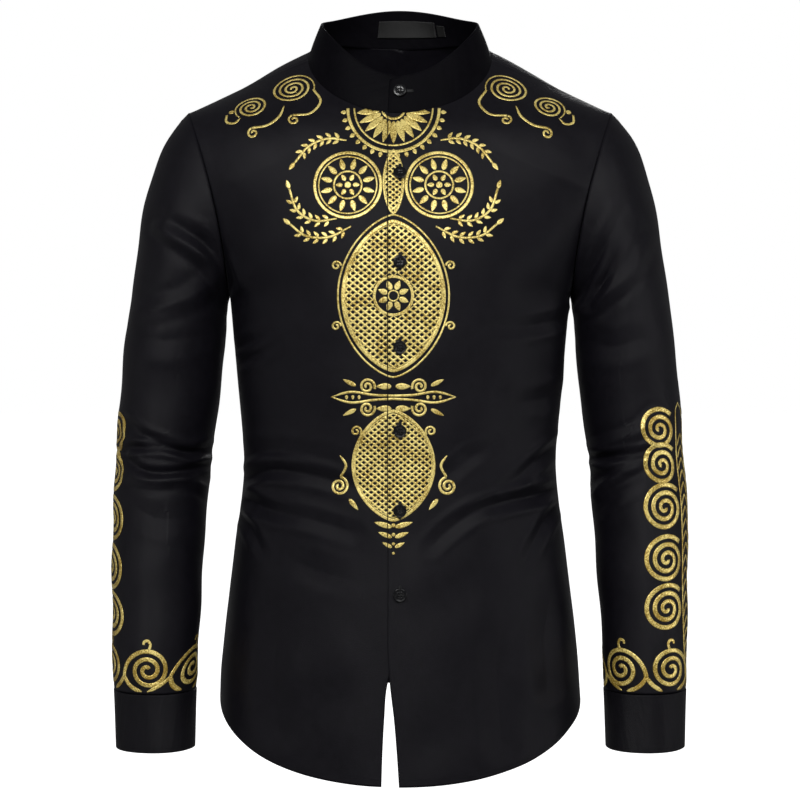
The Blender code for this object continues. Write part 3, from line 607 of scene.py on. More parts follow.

# %% [markdown]
# ## Folds
# The wearer's waist, elbows and armpits push the cloth into folds. Each one here is a line that was placed
# against the photograph, with a depth that changes along it. A trough has a soft ridge along each
# side, as pushed cloth has. The back isn't in the photograph, so it gets similar ones of its own. A weak
# wandering swell all over keeps the cloth from looking like sheet metal.

# %% Fold lines
# In millimetres: the points (x, z) of a fold's line, its depth at start, middle and end (a ridge is below
# 0), and its half width
FRONT_FOLDS = (
    (((-243, -176), (-215, -194), (-195, -208), (-180, -229), (-174, -249)), (-3.0, -4.5, -3.0), 7.5),
    (((-225, -174), (-202, -188), (-186, -206), (-176, -233)), (2.0, 4.5, 5.0), 7.5),
    (((-275, -261), (-242, -257), (-212, -247), (-188, -227)), (-1.0, -2.6, -2.0), 9.0),
    (((-262, -286), (-236, -290), (-205, -284)), (0.8, 2.0, 1.0), 12.0),
    (((-282, -368), (-262, -384), (-236, -395), (-211, -402), (-187, -396)), (1.5, 3.6, 4.5), 5.0),
    (((-287, -402), (-267, -398), (-241, -399), (-211, -405), (-189, -404)), (4.5, 3.0, 4.2), 4.2),
    (((-280, -407), (-262, -420), (-239, -423.5), (-216, -421.5), (-199, -416.5)), (3.0, 3.2, 3.6), 4.4),
    (((-278, -426.5), (-251.5, -433), (-221, -431), (-203, -437), (-192, -446.6)), (-1.5, -2.6, -2.8), 5.5),
    (((-273, -455), (-245, -470), (-215, -468)), (0.6, 1.8, 0.6), 11.0),
    (((178, -245), (192, -220.5), (208, -192), (224.5, -160)), (5.0, 4.2, 1.0), 6.5),
    (((193, -254), (206, -228), (220, -195), (231, -171)), (3.0, 3.2, 0.8), 5.5),
    (((176, -262), (202, -248), (232.6, -222), (250, -192)), (-3.0, -3.4, -1.0), 7.5),
    (((190, -290), (215, -296), (245, -287)), (1.2, 2.0, 0.8), 11.0),
    (((190, -408.5), (211, -407.8), (233, -405), (257, -400)), (6.0, 4.4, 1.8), 4.4),
    (((193, -399), (217, -392), (241.4, -381), (257.5, -365)), (-2.6, -2.8, -1.0), 6.5),
    (((196, -418), (214, -418.5), (236, -418.5)), (-2.4, -2.0, -0.5), 4.5),
    (((199, -448.6), (207, -436.5), (223, -425.4), (251.5, -411.4)), (-2.6, -3.0, -1.2), 4.4),
    (((203, -462), (216, -448), (238, -434)), (1.4, 2.6, 0.8), 6.5),
    (((-168, -297), (-149, -290), (-133, -283)), (2.5, 2.0, 0.4), 5.5),
    (((-168, -313), (-143, -304), (-123.5, -295)), (2.8, 2.2, 0.4), 5.5),
    (((-166, -437), (-145, -424.4), (-124, -420.5), (-87, -425), (-42, -437)), (6.5, 5.2, 0.8), 7.0),
    (((-166, -410), (-140, -402), (-104, -402), (-70, -409)), (2.0, 2.0, 0.4), 9.0),
    (((-168, -446), (-129, -461.1), (-89, -469.1), (-46, -481)), (5.0, 3.6, 0.6), 7.5),
    (((-169, -461), (-151, -481), (-137, -504)), (4.5, 3.6, 0.6), 5.5),
    (((-118, -505), (-80, -520), (-48, -528)), (0.4, 1.4, 0.3), 12.0),
    (((171, -266), (144, -273.6), (114, -277.6), (77.4, -275.6)), (2.6, 2.4, 0.4), 7.5),
    (
        ((168, -438.5), (139, -446.2), (107, -452.2), (74, -462.1), (48, -479), (30, -496)),
        (6.5, 5.6, 0.8),
        7.0,
    ),
    (((167, -392), (139, -410.5), (121, -425.4), (104, -438.3)), (4.5, 3.8, 0.8), 6.0),
    (((168, -447), (148, -471.1), (136, -490.9), (123, -516)), (5.0, 4.0, 0.6), 6.0),
    (((96, -392.7), (69.5, -407.5), (42.7, -428.4)), (0.6, 2.4, 0.4), 7.0),
    (((160, -345), (128, -352), (96, -350)), (2.0, 1.6, 0.3), 9.0),
    (((152, -545), (146, -590), (150, -640)), (0.6, 2.0, 2.4), 11.0),
    (((104, -560), (98, -620), (102, -690)), (0.4, 1.6, 2.0), 14.0),
    (((-120, -565), (-126, -620), (-122, -680)), (0.4, 1.6, 2.2), 14.0),
)
BACK_FOLDS = (
    (((-168, -428), (-130, -418), (-85, -428), (-20, -424)), (6.0, 4.6, 0.8), 8.0),
    (((168, -436), (125, -447), (75, -443), (18, -452)), (6.0, 4.8, 0.8), 8.0),
    (((-168, -452), (-120, -472), (-70, -476)), (5.0, 3.6, 0.6), 7.5),
    (((168, -460), (120, -488), (65, -496)), (5.0, 3.6, 0.6), 7.5),
    (((-120, -392), (-70, -398), (-20, -388)), (0.6, 2.6, 0.6), 9.0),
    (((130, -404), (85, -412), (30, -402)), (0.6, 2.8, 0.6), 9.0),
    (((-160, -300), (-125, -286), (-95, -262)), (3.0, 2.6, 0.4), 8.0),
    (((160, -306), (122, -290), (90, -262)), (3.0, 2.6, 0.4), 8.0),
    (((-170, -240), (-140, -205), (-122, -160)), (3.0, 3.4, 0.6), 9.0),
    (((170, -244), (142, -206), (126, -158)), (3.0, 3.4, 0.6), 9.0),
    (((-62, -520), (-55, -580), (-64, -650)), (0.4, 1.8, 2.4), 14.0),
    (((58, -530), (68, -590), (60, -650)), (0.4, 1.8, 2.4), 14.0),
    (((-292, -398), (-255, -412), (-220, -408), (-196, -402)), (1.0, 3.6, 5.0), 5.5),
    (((-290, -430), (-250, -438), (-215, -428), (-196, -418)), (1.0, 3.0, 4.2), 6.0),
    (((196, -406), (226, -415), (262, -410), (292, -392)), (5.0, 3.4, 1.0), 5.5),
    (((196, -424), (222, -436), (258, -438)), (4.2, 2.8, 0.8), 6.0),
    (((188, -250), (205, -222), (226, -186), (240, -150)), (4.5, 4.0, 0.8), 7.0),
    (((-188, -250), (-204, -220), (-224, -184), (-238, -148)), (4.5, 4.0, 0.8), 7.0),
    (((186, -275), (215, -262), (250, -230)), (-2.0, -3.0, -0.8), 8.0),
    (((-186, -275), (-215, -260), (-250, -226)), (-2.0, -3.0, -0.8), 8.0),
)
FOLDS = [(-1, *fold) for fold in FRONT_FOLDS] + [(1, *fold) for fold in BACK_FOLDS]
MM = 0.001
LINE_PIECES = 22
RIDGE_SHARE = 0.50
CREASE = 1.15
# Widths of a trough and its ridges, and how far off the ridges lie, in half widths of the fold
TROUGH_WIDTH, RIDGE_WIDTH, RIDGE_PLACE = 0.80, 0.65, 1.7
CRUMPLE_WIDTH = 3.2
# Waves of the swell: how closely they follow each other across and up, their phase and their height
SWELLS = ((31.0, 9.0, 0.4, 0.45), (-22.0, 27.0, 1.9, 0.40), (11.0, -41.0, 3.1, 0.30), (47.0, 33.0, 5.2, 0.22))


def smooth_line(corners, count):
    """A smooth curve through a few points, as count evenly spaced ones."""
    corners = np.array(corners, float)
    ends = np.vstack([2 * corners[0] - corners[1], corners, 2 * corners[-1] - corners[-2]])
    pieces = []
    for a, b, c, d in zip(ends, ends[1:], ends[2:], ends[3:]):
        pieces.append(bezier(b, b + (c - a) / 6, c - (d - b) / 6, c, np.linspace(0, 1, 25)[:-1]))
    return spread(np.vstack([*pieces, corners[-1:]]), count)


def fold_depth(points, facing_y):
    """How far the folds press each point inwards, in metres."""
    flat = points[..., [0, 2]]
    pressed = np.zeros(flat.shape[:-1])
    for side, corners, depths, half_width in FOLDS:
        line = smooth_line(np.array(corners) * MM, LINE_PIECES + 1)
        width = half_width * MM
        reach = 4 * width
        near = ((flat > line.min(0) - reach) & (flat < line.max(0) + reach)).all(-1)
        if not near.any():
            continue
        spots = flat[near]
        nearest = np.full(len(spots), np.inf)
        along = np.zeros(len(spots))
        for i in range(LINE_PIECES):
            step = line[i + 1] - line[i]
            t = np.clip(((spots - line[i]) @ step) / (step @ step), 0, 1)
            gap = np.linalg.norm(spots - line[i] - t[:, None] * step, axis=-1)
            closer = gap < nearest
            nearest = np.where(closer, gap, nearest)
            along = np.where(closer, (i + t) / LINE_PIECES, along)
        depth = np.interp(along, (0, 0.45, 1), depths) * MM
        trough = np.exp(-((nearest / (TROUGH_WIDTH * width)) ** CREASE))
        ridge = np.exp(-(((nearest - RIDGE_PLACE * width) / (RIDGE_WIDTH * width)) ** 2))
        shape = trough - RIDGE_SHARE * ridge
        pressed[near] += depth * shape * ease(0.15 + 1.5 * side * facing_y[near])
    return pressed


def crumpled(points):
    """How near each point is to a fold, from 0 to 1. The small creases of the finish grow there."""
    flat, away = points[..., [0, 2]], outward(points)[..., 1]
    share = np.zeros(flat.shape[:-1])
    for side, corners, _, half_width in FOLDS:
        line = smooth_line(np.array(corners) * MM, 9)
        gap = np.linalg.norm(flat[..., None, :] - line, axis=-1).min(axis=-1)
        here = np.exp(-((gap / (CRUMPLE_WIDTH * half_width * MM)) ** 2)) * ease(0.15 + 1.5 * side * away)
        share = np.maximum(share, here)
    return share


def swell(points):
    """A weak swell of the cloth, the same for all panels."""
    x, y, z = np.moveaxis(points, -1, 0)
    lean = x + 0.6 * y
    return sum(size * MM * np.sin(a * lean * 2.2 + b * z * 2.2 + phase) for a, b, phase, size in SWELLS)


def edge_weights(shape, low=0, top=0, first=0, last=0):
    """Weights for a grid: 0 on a sewn edge, rising to 1 over the given number of rows or columns."""
    rows, columns = np.indices(shape)
    weight = np.ones(shape)
    runs = ((rows, low), (shape[0] - 1 - rows, top), (columns, first), (shape[1] - 1 - columns, last))
    for index, count in runs:
        if count:
            weight *= ease(index / count)
    return weight


def press(points, weight, centre_xy=(0.0, 0.0)):
    """Presses the folds and the swell into a grid."""
    away = outward(points, centre_xy)
    depth = fold_depth(points, away[..., 1]) + swell(points)
    return points - away * (depth * weight)[..., None]


for word, grid in front_grids.items():
    weight = edge_weights(grid.shape[:2], top=18, first=14, last=7)
    front_grids[word] = press(grid, weight)
back_halves = []
for side in (1, -1):
    half = back_half * np.array([side, 1, 1])
    back_halves.append(press(half, edge_weights(half.shape[:2], top=18, last=7)))
# The rows below the neckline begin on the middle line, and there the two halves share their points
middle_rows = np.abs(back_halves[0][:, 0, 0]) < 0.0005
back_halves[1][middle_rows, 0] = back_halves[0][middle_rows, 0]
sleeve_grids = {}
for word, side in SIDES.items():
    grid = sleeve_base * np.array([side, 1, 1])
    centre = (side * SLEEVE[0][1], 0.0)
    grid = press(grid, edge_weights(grid.shape[:2], low=9, top=8), centre)
    grid[:, -1] = grid[:, 0]
    sleeve_grids[word] = grid
print(len(FOLDS), "fold lines pressed in")

# %% [markdown]
# ## From grids to sewn cloth
# A grid becomes a mesh with one quad between each four points. Its UV map is laid out in metres along the
# cloth. Where a panel is sewn to another one, its edge turns inwards over a few millimetres, as a seam
# allowance does, and that makes the fine groove of a seam. Solidify then gives the cloth its thickness.


# %% Cloth pieces
SEAM_DEPTH = 0.0035
SEAM_ROUND = 0.0009


def turn_edge(points, edge):
    """Turns one edge of a panel inwards over two more columns (edge is last) or rows (edge is top)."""
    if edge == "top":
        return np.swapaxes(turn_edge(np.swapaxes(points, 0, 1), "last"), 0, 1)
    inwards = -outward(points)[:, -1]
    along = points[:, -1] - points[:, -2]
    along /= np.maximum(np.linalg.norm(along, axis=-1, keepdims=True), 1e-9)
    first = points[:, -1] + inwards * SEAM_ROUND + along * 0.0001
    second = points[:, -1] + inwards * SEAM_DEPTH - along * 0.0006
    return np.concatenate([points, first[:, None], second[:, None]], axis=1)


def add_object(name, mesh, material):
    """Puts a mesh into the scene as a piece of one material."""
    mesh.materials.append(material)
    piece = bpy.data.objects.new(name, mesh)
    bpy.context.scene.collection.objects.link(piece)
    return piece


def apply_modifier(piece, kind, **settings):
    """Adds a modifier and applies it."""
    modifier = piece.modifiers.new(kind.lower(), kind)
    for name, value in settings.items():
        setattr(modifier, name, value)
    bpy.context.view_layer.objects.active = piece
    bpy.ops.object.modifier_apply(modifier=modifier.name)


def round_off(piece, width, segments, steepness):
    """Bevels the edges that are steeper than an angle in degrees."""
    limit = {"limit_method": "ANGLE", "angle_limit": math.radians(steepness)}
    apply_modifier(piece, "BEVEL", width=width, segments=segments, **limit)


def grid_piece(name, grids, wall, material, edge_distance=None, closed=False):
    """A cloth object made of one or two grids that share their first column."""
    bm = bmesh.new()
    layout = bm.loops.layers.uv.new("cloth")
    from_edge = bm.verts.layers.float.new("edge")
    creased = bm.verts.layers.float.new("crumple")
    for grid_number, points in enumerate(grids):
        rows, columns = points.shape[:2]
        across = np.linalg.norm(np.diff(points, axis=1), axis=-1)
        u = np.concatenate([np.zeros((rows, 1)), np.cumsum(across, axis=1)], axis=1)
        along = np.linalg.norm(np.diff(points, axis=0), axis=-1).mean(axis=1)
        v = np.concatenate([[0], np.cumsum(along)])
        distance = np.full((rows, columns), 0.05) if edge_distance is None else edge_distance(u, v)
        share = crumpled(points)
        made = np.empty((rows, columns), object)
        for i in range(rows):
            for j in range(columns - 1 if closed else columns):
                vertex = bm.verts.new(points[i, j])
                vertex[from_edge] = float(distance[i, j])
                vertex[creased] = float(share[i, j])
                made[i, j] = vertex
        if closed:
            made[:, -1] = made[:, 0]
        away = outward(points, points.mean(axis=(0, 1))[:2] if closed else (0.0, 0.0))
        turned = (normals(points) * away).sum() < 0
        sign = -1.0 if grid_number else 1.0
        for i in range(rows - 1):
            for j in range(columns - 1):
                loop_of = [(i, j), (i, j + 1), (i + 1, j + 1), (i + 1, j)]
                if turned:
                    loop_of.reverse()
                face = bm.faces.new([made[place] for place in loop_of])
                face.smooth = True
                for loop, (row, column) in zip(face.loops, loop_of):
                    loop[layout].uv = (sign * u[row, column], v[row])
    bmesh.ops.remove_doubles(bm, verts=bm.verts, dist=0.00001)
    area = sum(face.calc_area() for face in bm.faces)
    mesh = bpy.data.meshes.new(name)
    bm.to_mesh(mesh)
    bm.free()
    piece = add_object(name, mesh, material)
    apply_modifier(piece, "SOLIDIFY", thickness=wall, offset=0.0, use_even_offset=True)
    print(name, len(piece.data.polygons), "faces,", round(area, 4), "m2")
    return piece, area


def far_from_hem(u, v):
    """Distance from the hem, which is the first row."""
    return np.broadcast_to(v[:, None], u.shape)


pieces, areas = {}, {}
for word, grid in front_grids.items():
    sewn = turn_edge(turn_edge(grid, "last"), "top")
    name = "front_panel_" + word
    pieces[name], areas[name] = grid_piece(name, [sewn], CLOTH, cloth_black, far_from_hem)
sewn_back = [turn_edge(turn_edge(half, "last"), "top") for half in back_halves]
name = "back_panel"
pieces[name], areas[name] = grid_piece(name, sewn_back, CLOTH, cloth_black, far_from_hem)

# %% [markdown]
# ## Setting in the sleeves
# A sleeve's first ring lies on the armhole. Two more rings before it turn into the armhole, as the seam
# allowance of a set-in sleeve does.

# %% Sleeve pieces
ARMHOLE_MIDDLE = np.array([0.190, ARMHOLE["y"], ARMHOLE["z"]])
TUCK_DEPTH, TUCK_BACK = 0.0030, 0.0010


def tucked(grid, side):
    """Adds two rings before the first one, that turn into the armhole."""
    middle = ARMHOLE_MIDDLE * np.array([side, 1, 1])
    inward = middle - grid[0]
    inward /= np.linalg.norm(inward, axis=-1, keepdims=True)
    back = grid[0] - grid[2]
    back /= np.linalg.norm(back, axis=-1, keepdims=True)
    first = grid[0] + inward * SEAM_ROUND
    second = grid[0] + inward * TUCK_DEPTH + back * TUCK_BACK
    return np.concatenate([second[None], first[None], grid])


for word, side in SIDES.items():
    name = "sleeve_cloth_" + word
    sewn = tucked(sleeve_grids[word], side)
    pieces[name], areas[name] = grid_piece(name, [sewn], CLOTH, cloth_black, closed=True)

# %% [markdown]
# ## The stand collar
# The collar is one folded band, stiffened inside, about 40 mm high. It stands as an open ring whose ends lap
# at the front: the wearer's left end lies outside, with its corners rounded. A bevel rounds the edges of the
# thick wall.

# %% Collar
COLLAR_COLUMNS, COLLAR_ROWS = 150, 18
COLLAR_LOW_RISE = -0.035
COLLAR_CORNER = 0.0050
LAP_GAP = 0.0004
BAND_ROUNDING = 0.0007
BAND_STITCH_INSET = 0.0020
# How far the collar's middle bulges, how far its top edge wanders, and how far a cuff's low edge does
COLLAR_BULGE, COLLAR_RIPPLE, CUFF_RIPPLE = 0.0006, 0.0004, 0.0005


def outer_share(angle, lap):
    """Half the step of a lapped band: outwards at its first end, inwards at its last, 0 between the laps."""
    return (ease(1 - (angle - angle[0] - lap) / lap) - ease(1 - (angle[-1] - angle - lap) / lap)) / 2


def collar_grid():
    """The collar as a band whose ends lap at the front, the left end outside."""
    first = -math.asin(LAP / NECK["width"])
    angle = np.linspace(first, 2 * math.pi - first, COLLAR_COLUMNS)
    lap = -2 * first
    outer = outer_share(angle, lap) * (BAND + LAP_GAP)
    end_share = np.clip(1 - np.minimum(angle - first, angle[-1] - angle) / lap, 0, 1)
    low, top = band_point(NECK, angle), band_point(COLLAR_TOP, angle)
    rings = []
    for rise in np.linspace(COLLAR_LOW_RISE, 1, COLLAR_ROWS):
        ring = low + (top - low) * rise
        ring[:, 0] += np.sin(angle) * outer
        ring[:, 1] -= np.cos(angle) * outer
        ring[:, 2] -= COLLAR_CORNER * end_share**2 * max(rise, 0)
        rings.append(ring)
    points = np.array(rings)
    bulge = COLLAR_BULGE * np.sin(np.linspace(0, math.pi, COLLAR_ROWS))[:, None]
    ripple = COLLAR_RIPPLE * np.sin(angle * 7 + 1.0)[None, :] * np.linspace(0, 1, COLLAR_ROWS)[:, None]
    return points + outward(points, (0.0, NECK["y"])) * (bulge + ripple)[..., None]


def near_both_edges(u, v):
    """Distance from the nearer long edge, set so that the stitches run 2 mm inside it."""
    inset = np.minimum(v, v[-1] - v)[:, None] + STITCH_INSET - BAND_STITCH_INSET
    return np.broadcast_to(inset, u.shape)


def add_band(name, points, material):
    """A thick folded band with stitches along its long edges and rounded corners."""
    pieces[name], areas[name] = grid_piece(name, [points], BAND, material, near_both_edges)
    round_off(pieces[name], BAND_ROUNDING, 3, 50)


collar_points = collar_grid()
add_band("collar_band", collar_points, collar_shaded_black)

# %% [markdown]
# ## The cuffs
# A barrel cuff is a folded band like the collar. Its ends lap at the back of the wrist, where the photograph
# does not look, and one button closes it.

# %% Cuffs
CUFF_COLUMNS, CUFF_ROWS = 120, 22
CUFF_LAP_MIDDLE, CUFF_LAP = math.radians(62.0), math.radians(44.0)


def cuff_grid(side):
    """A cuff as a band whose ends lap, first end outside, at the back of the wrist."""
    start = CUFF_LAP_MIDDLE - CUFF_LAP / 2
    end = CUFF_LAP_MIDDLE + CUFF_LAP / 2 + 2 * math.pi
    angle = np.linspace(start, end, CUFF_COLUMNS)
    outer = outer_share(angle, CUFF_LAP) * (BAND + LAP_GAP)
    rings = []
    for z in np.linspace(CUFF_LOW_Z, CUFF_TOP_Z, CUFF_ROWS):
        ring = sleeve_ring(np.full(len(angle), z), angle)
        ring[:, 2] += WRIST_DIP * (ring[:, 1] - read_table(SLEEVE, z)[2])
        ring[:, 0] += np.cos(angle) * outer
        ring[:, 1] += np.sin(angle) * outer
        rings.append(ring)
    points = np.array(rings)
    ripple = CUFF_RIPPLE * np.sin(angle * 5 + side)[None, :] * np.linspace(1, 0.2, CUFF_ROWS)[:, None]
    points += outward(points, (SLEEVE[-1][1], SLEEVE[-1][3])) * ripple[..., None]
    return points * np.array([side, 1, 1])


cuff_grids = {}
for word, side in SIDES.items():
    cuff_grids[word] = cuff_grid(side)
    add_band("cuff_band_" + word, cuff_grids[word], cuff_shaded_black)

# %% [markdown]
# ## The gold foil
# The print is a gold film, pressed on hot. A film can be a picture on the cloth or a shape of its own. Its
# edges are sharp and it shines in its own way, so it is made as a very thin shape here. Every line is first
# drawn flat, in metres, with a width. Then it is laid on the cloth: a ray goes from each point of the drawing
# to the cloth, and the film stops a fraction of a millimetre above it. The spirals on the sleeves are an old
# ornament that belongs to nobody. The front carries rosettes, leaves and nets that were drawn for this model.

# %% Foil finish
GOLD_BRIGHT = (0.98, 0.80, 0.27, 1.0)
GOLD_DEEP = (0.38, 0.24, 0.030, 1.0)


def foil_finish(name, share_deep):
    """Gold foil with the fine grain of the cloth under it."""
    finish = Finish(name)
    grain = finish.noise(0.0012, detail=2.0)
    patches = finish.noise(0.016)
    shade = (grain - 0.5) * 4.4 + (patches - 0.5) * 2.4 + share_deep
    finish.feed(Base_Color=finish.mix(shade.op("MAXIMUM", 0.0), GOLD_BRIGHT, GOLD_DEEP))
    finish.feed(Metallic=patches * 0.20 + 0.30, Roughness=grain * 0.25 + 0.24)
    finish.feed(Normal=finish.bump(grain * 0.00045, 0.5))
    return finish.material


# The sleeves carry the same foil, mixed further towards the deep gold (0.62 against 0.28) as painted shade.
foil_front = foil_finish("gold_foil_front", 0.28)
foil_sleeve_shaded = foil_finish("gold_foil_sleeve", 0.62)
print("foil finishes ready")

# %% [markdown]
# ## Drawing tools
# A drawing is a list of strokes, and a stroke is a row of points with a half width at each of them. So one
# list holds lines, rings, coils, dots and leaf-shaped drops. Strokes become flat strips of faces, and a net
# is cut out of one flat face.

# %% Drawing tools
FOIL_STEP = 0.0017
HOOK_STEP = 0.0006
# A wide line gets more lanes of faces across it, and each line lies a hair off its neighbours
WIDE_HALF, WIDE_LANES, NARROW_LANES = 0.0013, 5, 3
LEVELS, LEVEL_STEP = 7, 0.000012
NET_LEVEL = -0.00002
NET_EDGE = 0.0024
NET_SMALL_CELL = 0.30


def stroke(points, width, ends=(1.0, 1.0), step=FOIL_STEP, closed=False):
    """A drawn line: its points, its half width at each of them, and whether it closes on itself."""
    points = np.asarray(points, float)
    length = np.linalg.norm(np.diff(points, axis=0), axis=1).sum()
    line = spread(points, max(3, int(round(length / step)) + 1))
    share = np.linspace(0, 1, len(line))
    half = width / 2 * np.interp(share, (0, 0.22, 0.78, 1), (ends[0], 1, 1, ends[1]))
    return line, half, closed


def arc(centre, radius, first, last, count=90):
    """Points on part of a circle. Angles are in degrees from +u."""
    angle = np.radians(np.linspace(first, last, count))
    return np.stack([centre[0] + radius * np.cos(angle), centre[1] + radius * np.sin(angle)], -1)


def ring(centre, radius, width):
    """A round line."""
    return stroke(arc(centre, radius, 0, 360), width, closed=True)


def outline(points, width, step=FOIL_STEP):
    """A line that runs round a shape, back to its first point."""
    return stroke(np.vstack([points, points[:1]]), width, step=step, closed=True)


def coil(centre, outer, inner, turns, first, hand, width, ends=(1.0, 1.0), step=FOIL_STEP):
    """A spiral that winds inwards from its outer end."""
    share = np.linspace(0, 1, int(60 * turns) + 2)
    angle = math.radians(first) + hand * share * turns * 2 * math.pi
    radius = outer + (inner - outer) * share
    points = np.stack([centre[0] + radius * np.cos(angle), centre[1] + radius * np.sin(angle)], -1)
    return stroke(points, width, ends, step)


def line(corners, width, ends=(1.0, 1.0), step=FOIL_STEP):
    """A curved line through a few points."""
    return stroke(smooth_line(corners, 80), width, ends, step)


def dot(centre, radius):
    """A filled round spot, drawn as a short fat ring."""
    return stroke(arc(centre, radius / 2 + 0.00002, 0, 360), radius, step=HOOK_STEP, closed=True)


def drop(tip, tail, width):
    """A leaf-shaped spot from one point to another."""
    tip, tail = np.array(tip, float), np.array(tail, float)
    points = tip + (tail - tip) * np.linspace(0, 1, 12)[:, None]
    drawn, _, _ = stroke(points, width, step=HOOK_STEP)
    share = np.linspace(0, 1, len(drawn))
    return drawn, width / 2 * np.sin(math.pi * share**0.75) ** 0.8 + 0.00003, False


def mirrored(strokes, centre_u):
    """The strokes with their mirror images about an upright line."""
    turned = [(np.stack([2 * centre_u - p[:, 0], p[:, 1]], -1), half, closed) for p, half, closed in strokes]
    return strokes + turned


def stroke_mesh(strokes):
    """All strokes as flat strips. Each lies a hair higher or lower than the next, so none share a plane."""
    bm = bmesh.new()
    level = bm.verts.layers.float.new("level")
    for number, (points, half, closed) in enumerate(strokes):
        if closed:
            points, half = points[:-1], half[:-1]
            ahead = np.roll(points, -1, axis=0) - np.roll(points, 1, axis=0)
        else:
            ahead = np.gradient(points, axis=0)
        ahead /= np.maximum(np.linalg.norm(ahead, axis=1, keepdims=True), 1e-9)
        beside = np.stack([-ahead[:, 1], ahead[:, 0]], -1)
        lanes = WIDE_LANES if half.max() > WIDE_HALF else NARROW_LANES
        rows = []
        for k in range(lanes):
            share = 2 * k / (lanes - 1) - 1
            lane = points + beside * (half * share)[:, None]
            rows.append([bm.verts.new((u, v, 0.0)) for u, v in lane])
            for vertex in rows[-1]:
                vertex[level] = (number % LEVELS) * LEVEL_STEP
        count = len(points)
        for first, second in zip(rows, rows[1:]):
            for i in range(count if closed else count - 1):
                j = (i + 1) % count
                bm.faces.new((first[i], first[j], second[j], second[i]))
    return bm


def net_mesh(shape, pitch, bar, slope=0.80, holes=()):
    """A net of gold bars that fills a shape. A flat face is cut by two families of slanted lines, each
    cell is inset, and its inside is deleted. Cells whose middle lies in a hole are left out."""
    bm = bmesh.new()
    level = bm.verts.layers.float.new("level")
    bm.faces.new([bm.verts.new((u, v, 0.0)) for u, v in shape])
    low, high = np.min(shape, axis=0), np.max(shape, axis=0)
    middle = (low + high) / 2
    reach = np.linalg.norm(high - low)
    for lean in (slope, -slope):
        across = Vector((lean, 1.0, 0.0)).normalized()
        for place in np.arange(0, reach, pitch):
            for sign in (1, -1) if place else (1,):
                spot = Vector((*middle, 0)) + across * place * sign
                geometry = bm.verts[:] + bm.edges[:] + bm.faces[:]
                bmesh.ops.bisect_plane(bm, geom=geometry, dist=1e-7, plane_co=spot, plane_no=across)
    small = [face for face in bm.faces if face.calc_area() < (pitch * NET_SMALL_CELL) ** 2]
    unwanted = [
        face
        for face in bm.faces
        if any((face.calc_center_median().xy - Vector(c)).length < r for c, r in holes)
    ]
    bmesh.ops.delete(bm, geom=unwanted, context="FACES")
    inner = [face for face in bm.faces if face not in small]
    bmesh.ops.inset_individual(bm, faces=inner, thickness=bar, depth=0.0, use_even_offset=True)
    bmesh.ops.delete(bm, geom=inner, context="FACES")
    long_edges = [edge for edge in bm.edges if edge.calc_length() > NET_EDGE]
    bmesh.ops.subdivide_edges(bm, edges=long_edges, cuts=1, use_grid_fill=True)
    for vertex in bm.verts:
        vertex[level] = NET_LEVEL
    return bm


print("drawing tools ready")

# %% [markdown]
# ## Laying the film
# Each point of a flat drawing goes along its ray to the cloth. A point that misses the cloth is left out, and
# so is a face that would bridge a gap. Solidify then gives the film a thickness of a tenth of a millimetre.

# %% Laying film on cloth
FILM_LIFT = 0.00022
FILM_WALL = 0.00009
# A film edge longer than this has slid off the cloth
STRETCHED = 0.007
# The films and threads that lie on each panel, by the panel's name
laid_on = {name: [] for name in pieces}


def lay_film(name, flat_meshes, aim, panel, material, clip=None, lift=FILM_LIFT, wall=FILM_WALL):
    """Lays flat drawings on a panel. Aim gives a ray for each flat point; clip cuts the drawing at a value of
    u and keeps the side that its sign says."""
    tree = BVHTree.FromObject(pieces[panel], bpy.context.evaluated_depsgraph_get())
    bm = bmesh.new()
    bm.verts.layers.float.new("level")
    whole = bpy.data.meshes.new(name)
    for flat in flat_meshes:
        if clip:
            geometry = flat.verts[:] + flat.edges[:] + flat.faces[:]
            side = {"clear_inner": clip[1] > 0, "clear_outer": clip[1] < 0}
            place = {"plane_co": (clip[0], 0, 0), "plane_no": (1, 0, 0)}
            bmesh.ops.bisect_plane(flat, geom=geometry, **place, **side)
        part = bpy.data.meshes.new("part")
        flat.to_mesh(part)
        bm.from_mesh(part)
        bpy.data.meshes.remove(part)
    missed = []
    level = bm.verts.layers.float["level"]
    for vertex in bm.verts:
        origin, direction = aim(vertex.co.x, vertex.co.y)
        spot, normal, _, _ = tree.ray_cast(Vector(origin), Vector(direction))
        if spot is None:
            missed.append(vertex)
            continue
        if normal.dot(Vector(direction)) > 0:
            normal = -normal
        vertex.co = spot + normal * (lift + vertex[level])
    bmesh.ops.delete(bm, geom=missed, context="VERTS")
    stretched = [edge for edge in bm.edges if edge.calc_length() > STRETCHED]
    bmesh.ops.delete(bm, geom=list({f for edge in stretched for f in edge.link_faces}), context="FACES")
    bmesh.ops.dissolve_degenerate(bm, edges=bm.edges, dist=1e-6)
    loose = [vertex for vertex in bm.verts if not vertex.link_faces]
    bmesh.ops.delete(bm, geom=loose, context="VERTS")
    bm.normal_update()
    for face in bm.faces:
        face.smooth = True
        centre = face.calc_center_median()
        _, normal, _, _ = tree.find_nearest(centre)
        if face.normal.dot(normal) < 0:
            face.normal_flip()
    bm.to_mesh(whole)
    bm.free()
    film = add_object(name, whole, material)
    flat_faces = len(whole.polygons)
    apply_modifier(film, "SOLIDIFY", thickness=wall, offset=0.0)
    for face in film.data.polygons[2 * flat_faces :]:
        face.use_smooth = False
    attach(film, "root")
    laid_on[panel].append(film)
    print(name, len(film.data.polygons), "faces,", len(missed), "points off the cloth")
    return film


# %% [markdown]
# ## The ornament on the front
# It runs down both sides of the placket: a fan under the collar, a narrow leaf between two rosettes with
# sprays, a long leaf, scrolls, a smaller leaf, and drops. A net fills each leaf. One half is drawn and
# mirrored about a line just beside the placket's edge. The drawing is cut at that edge, because each front
# carries its own part of the film.

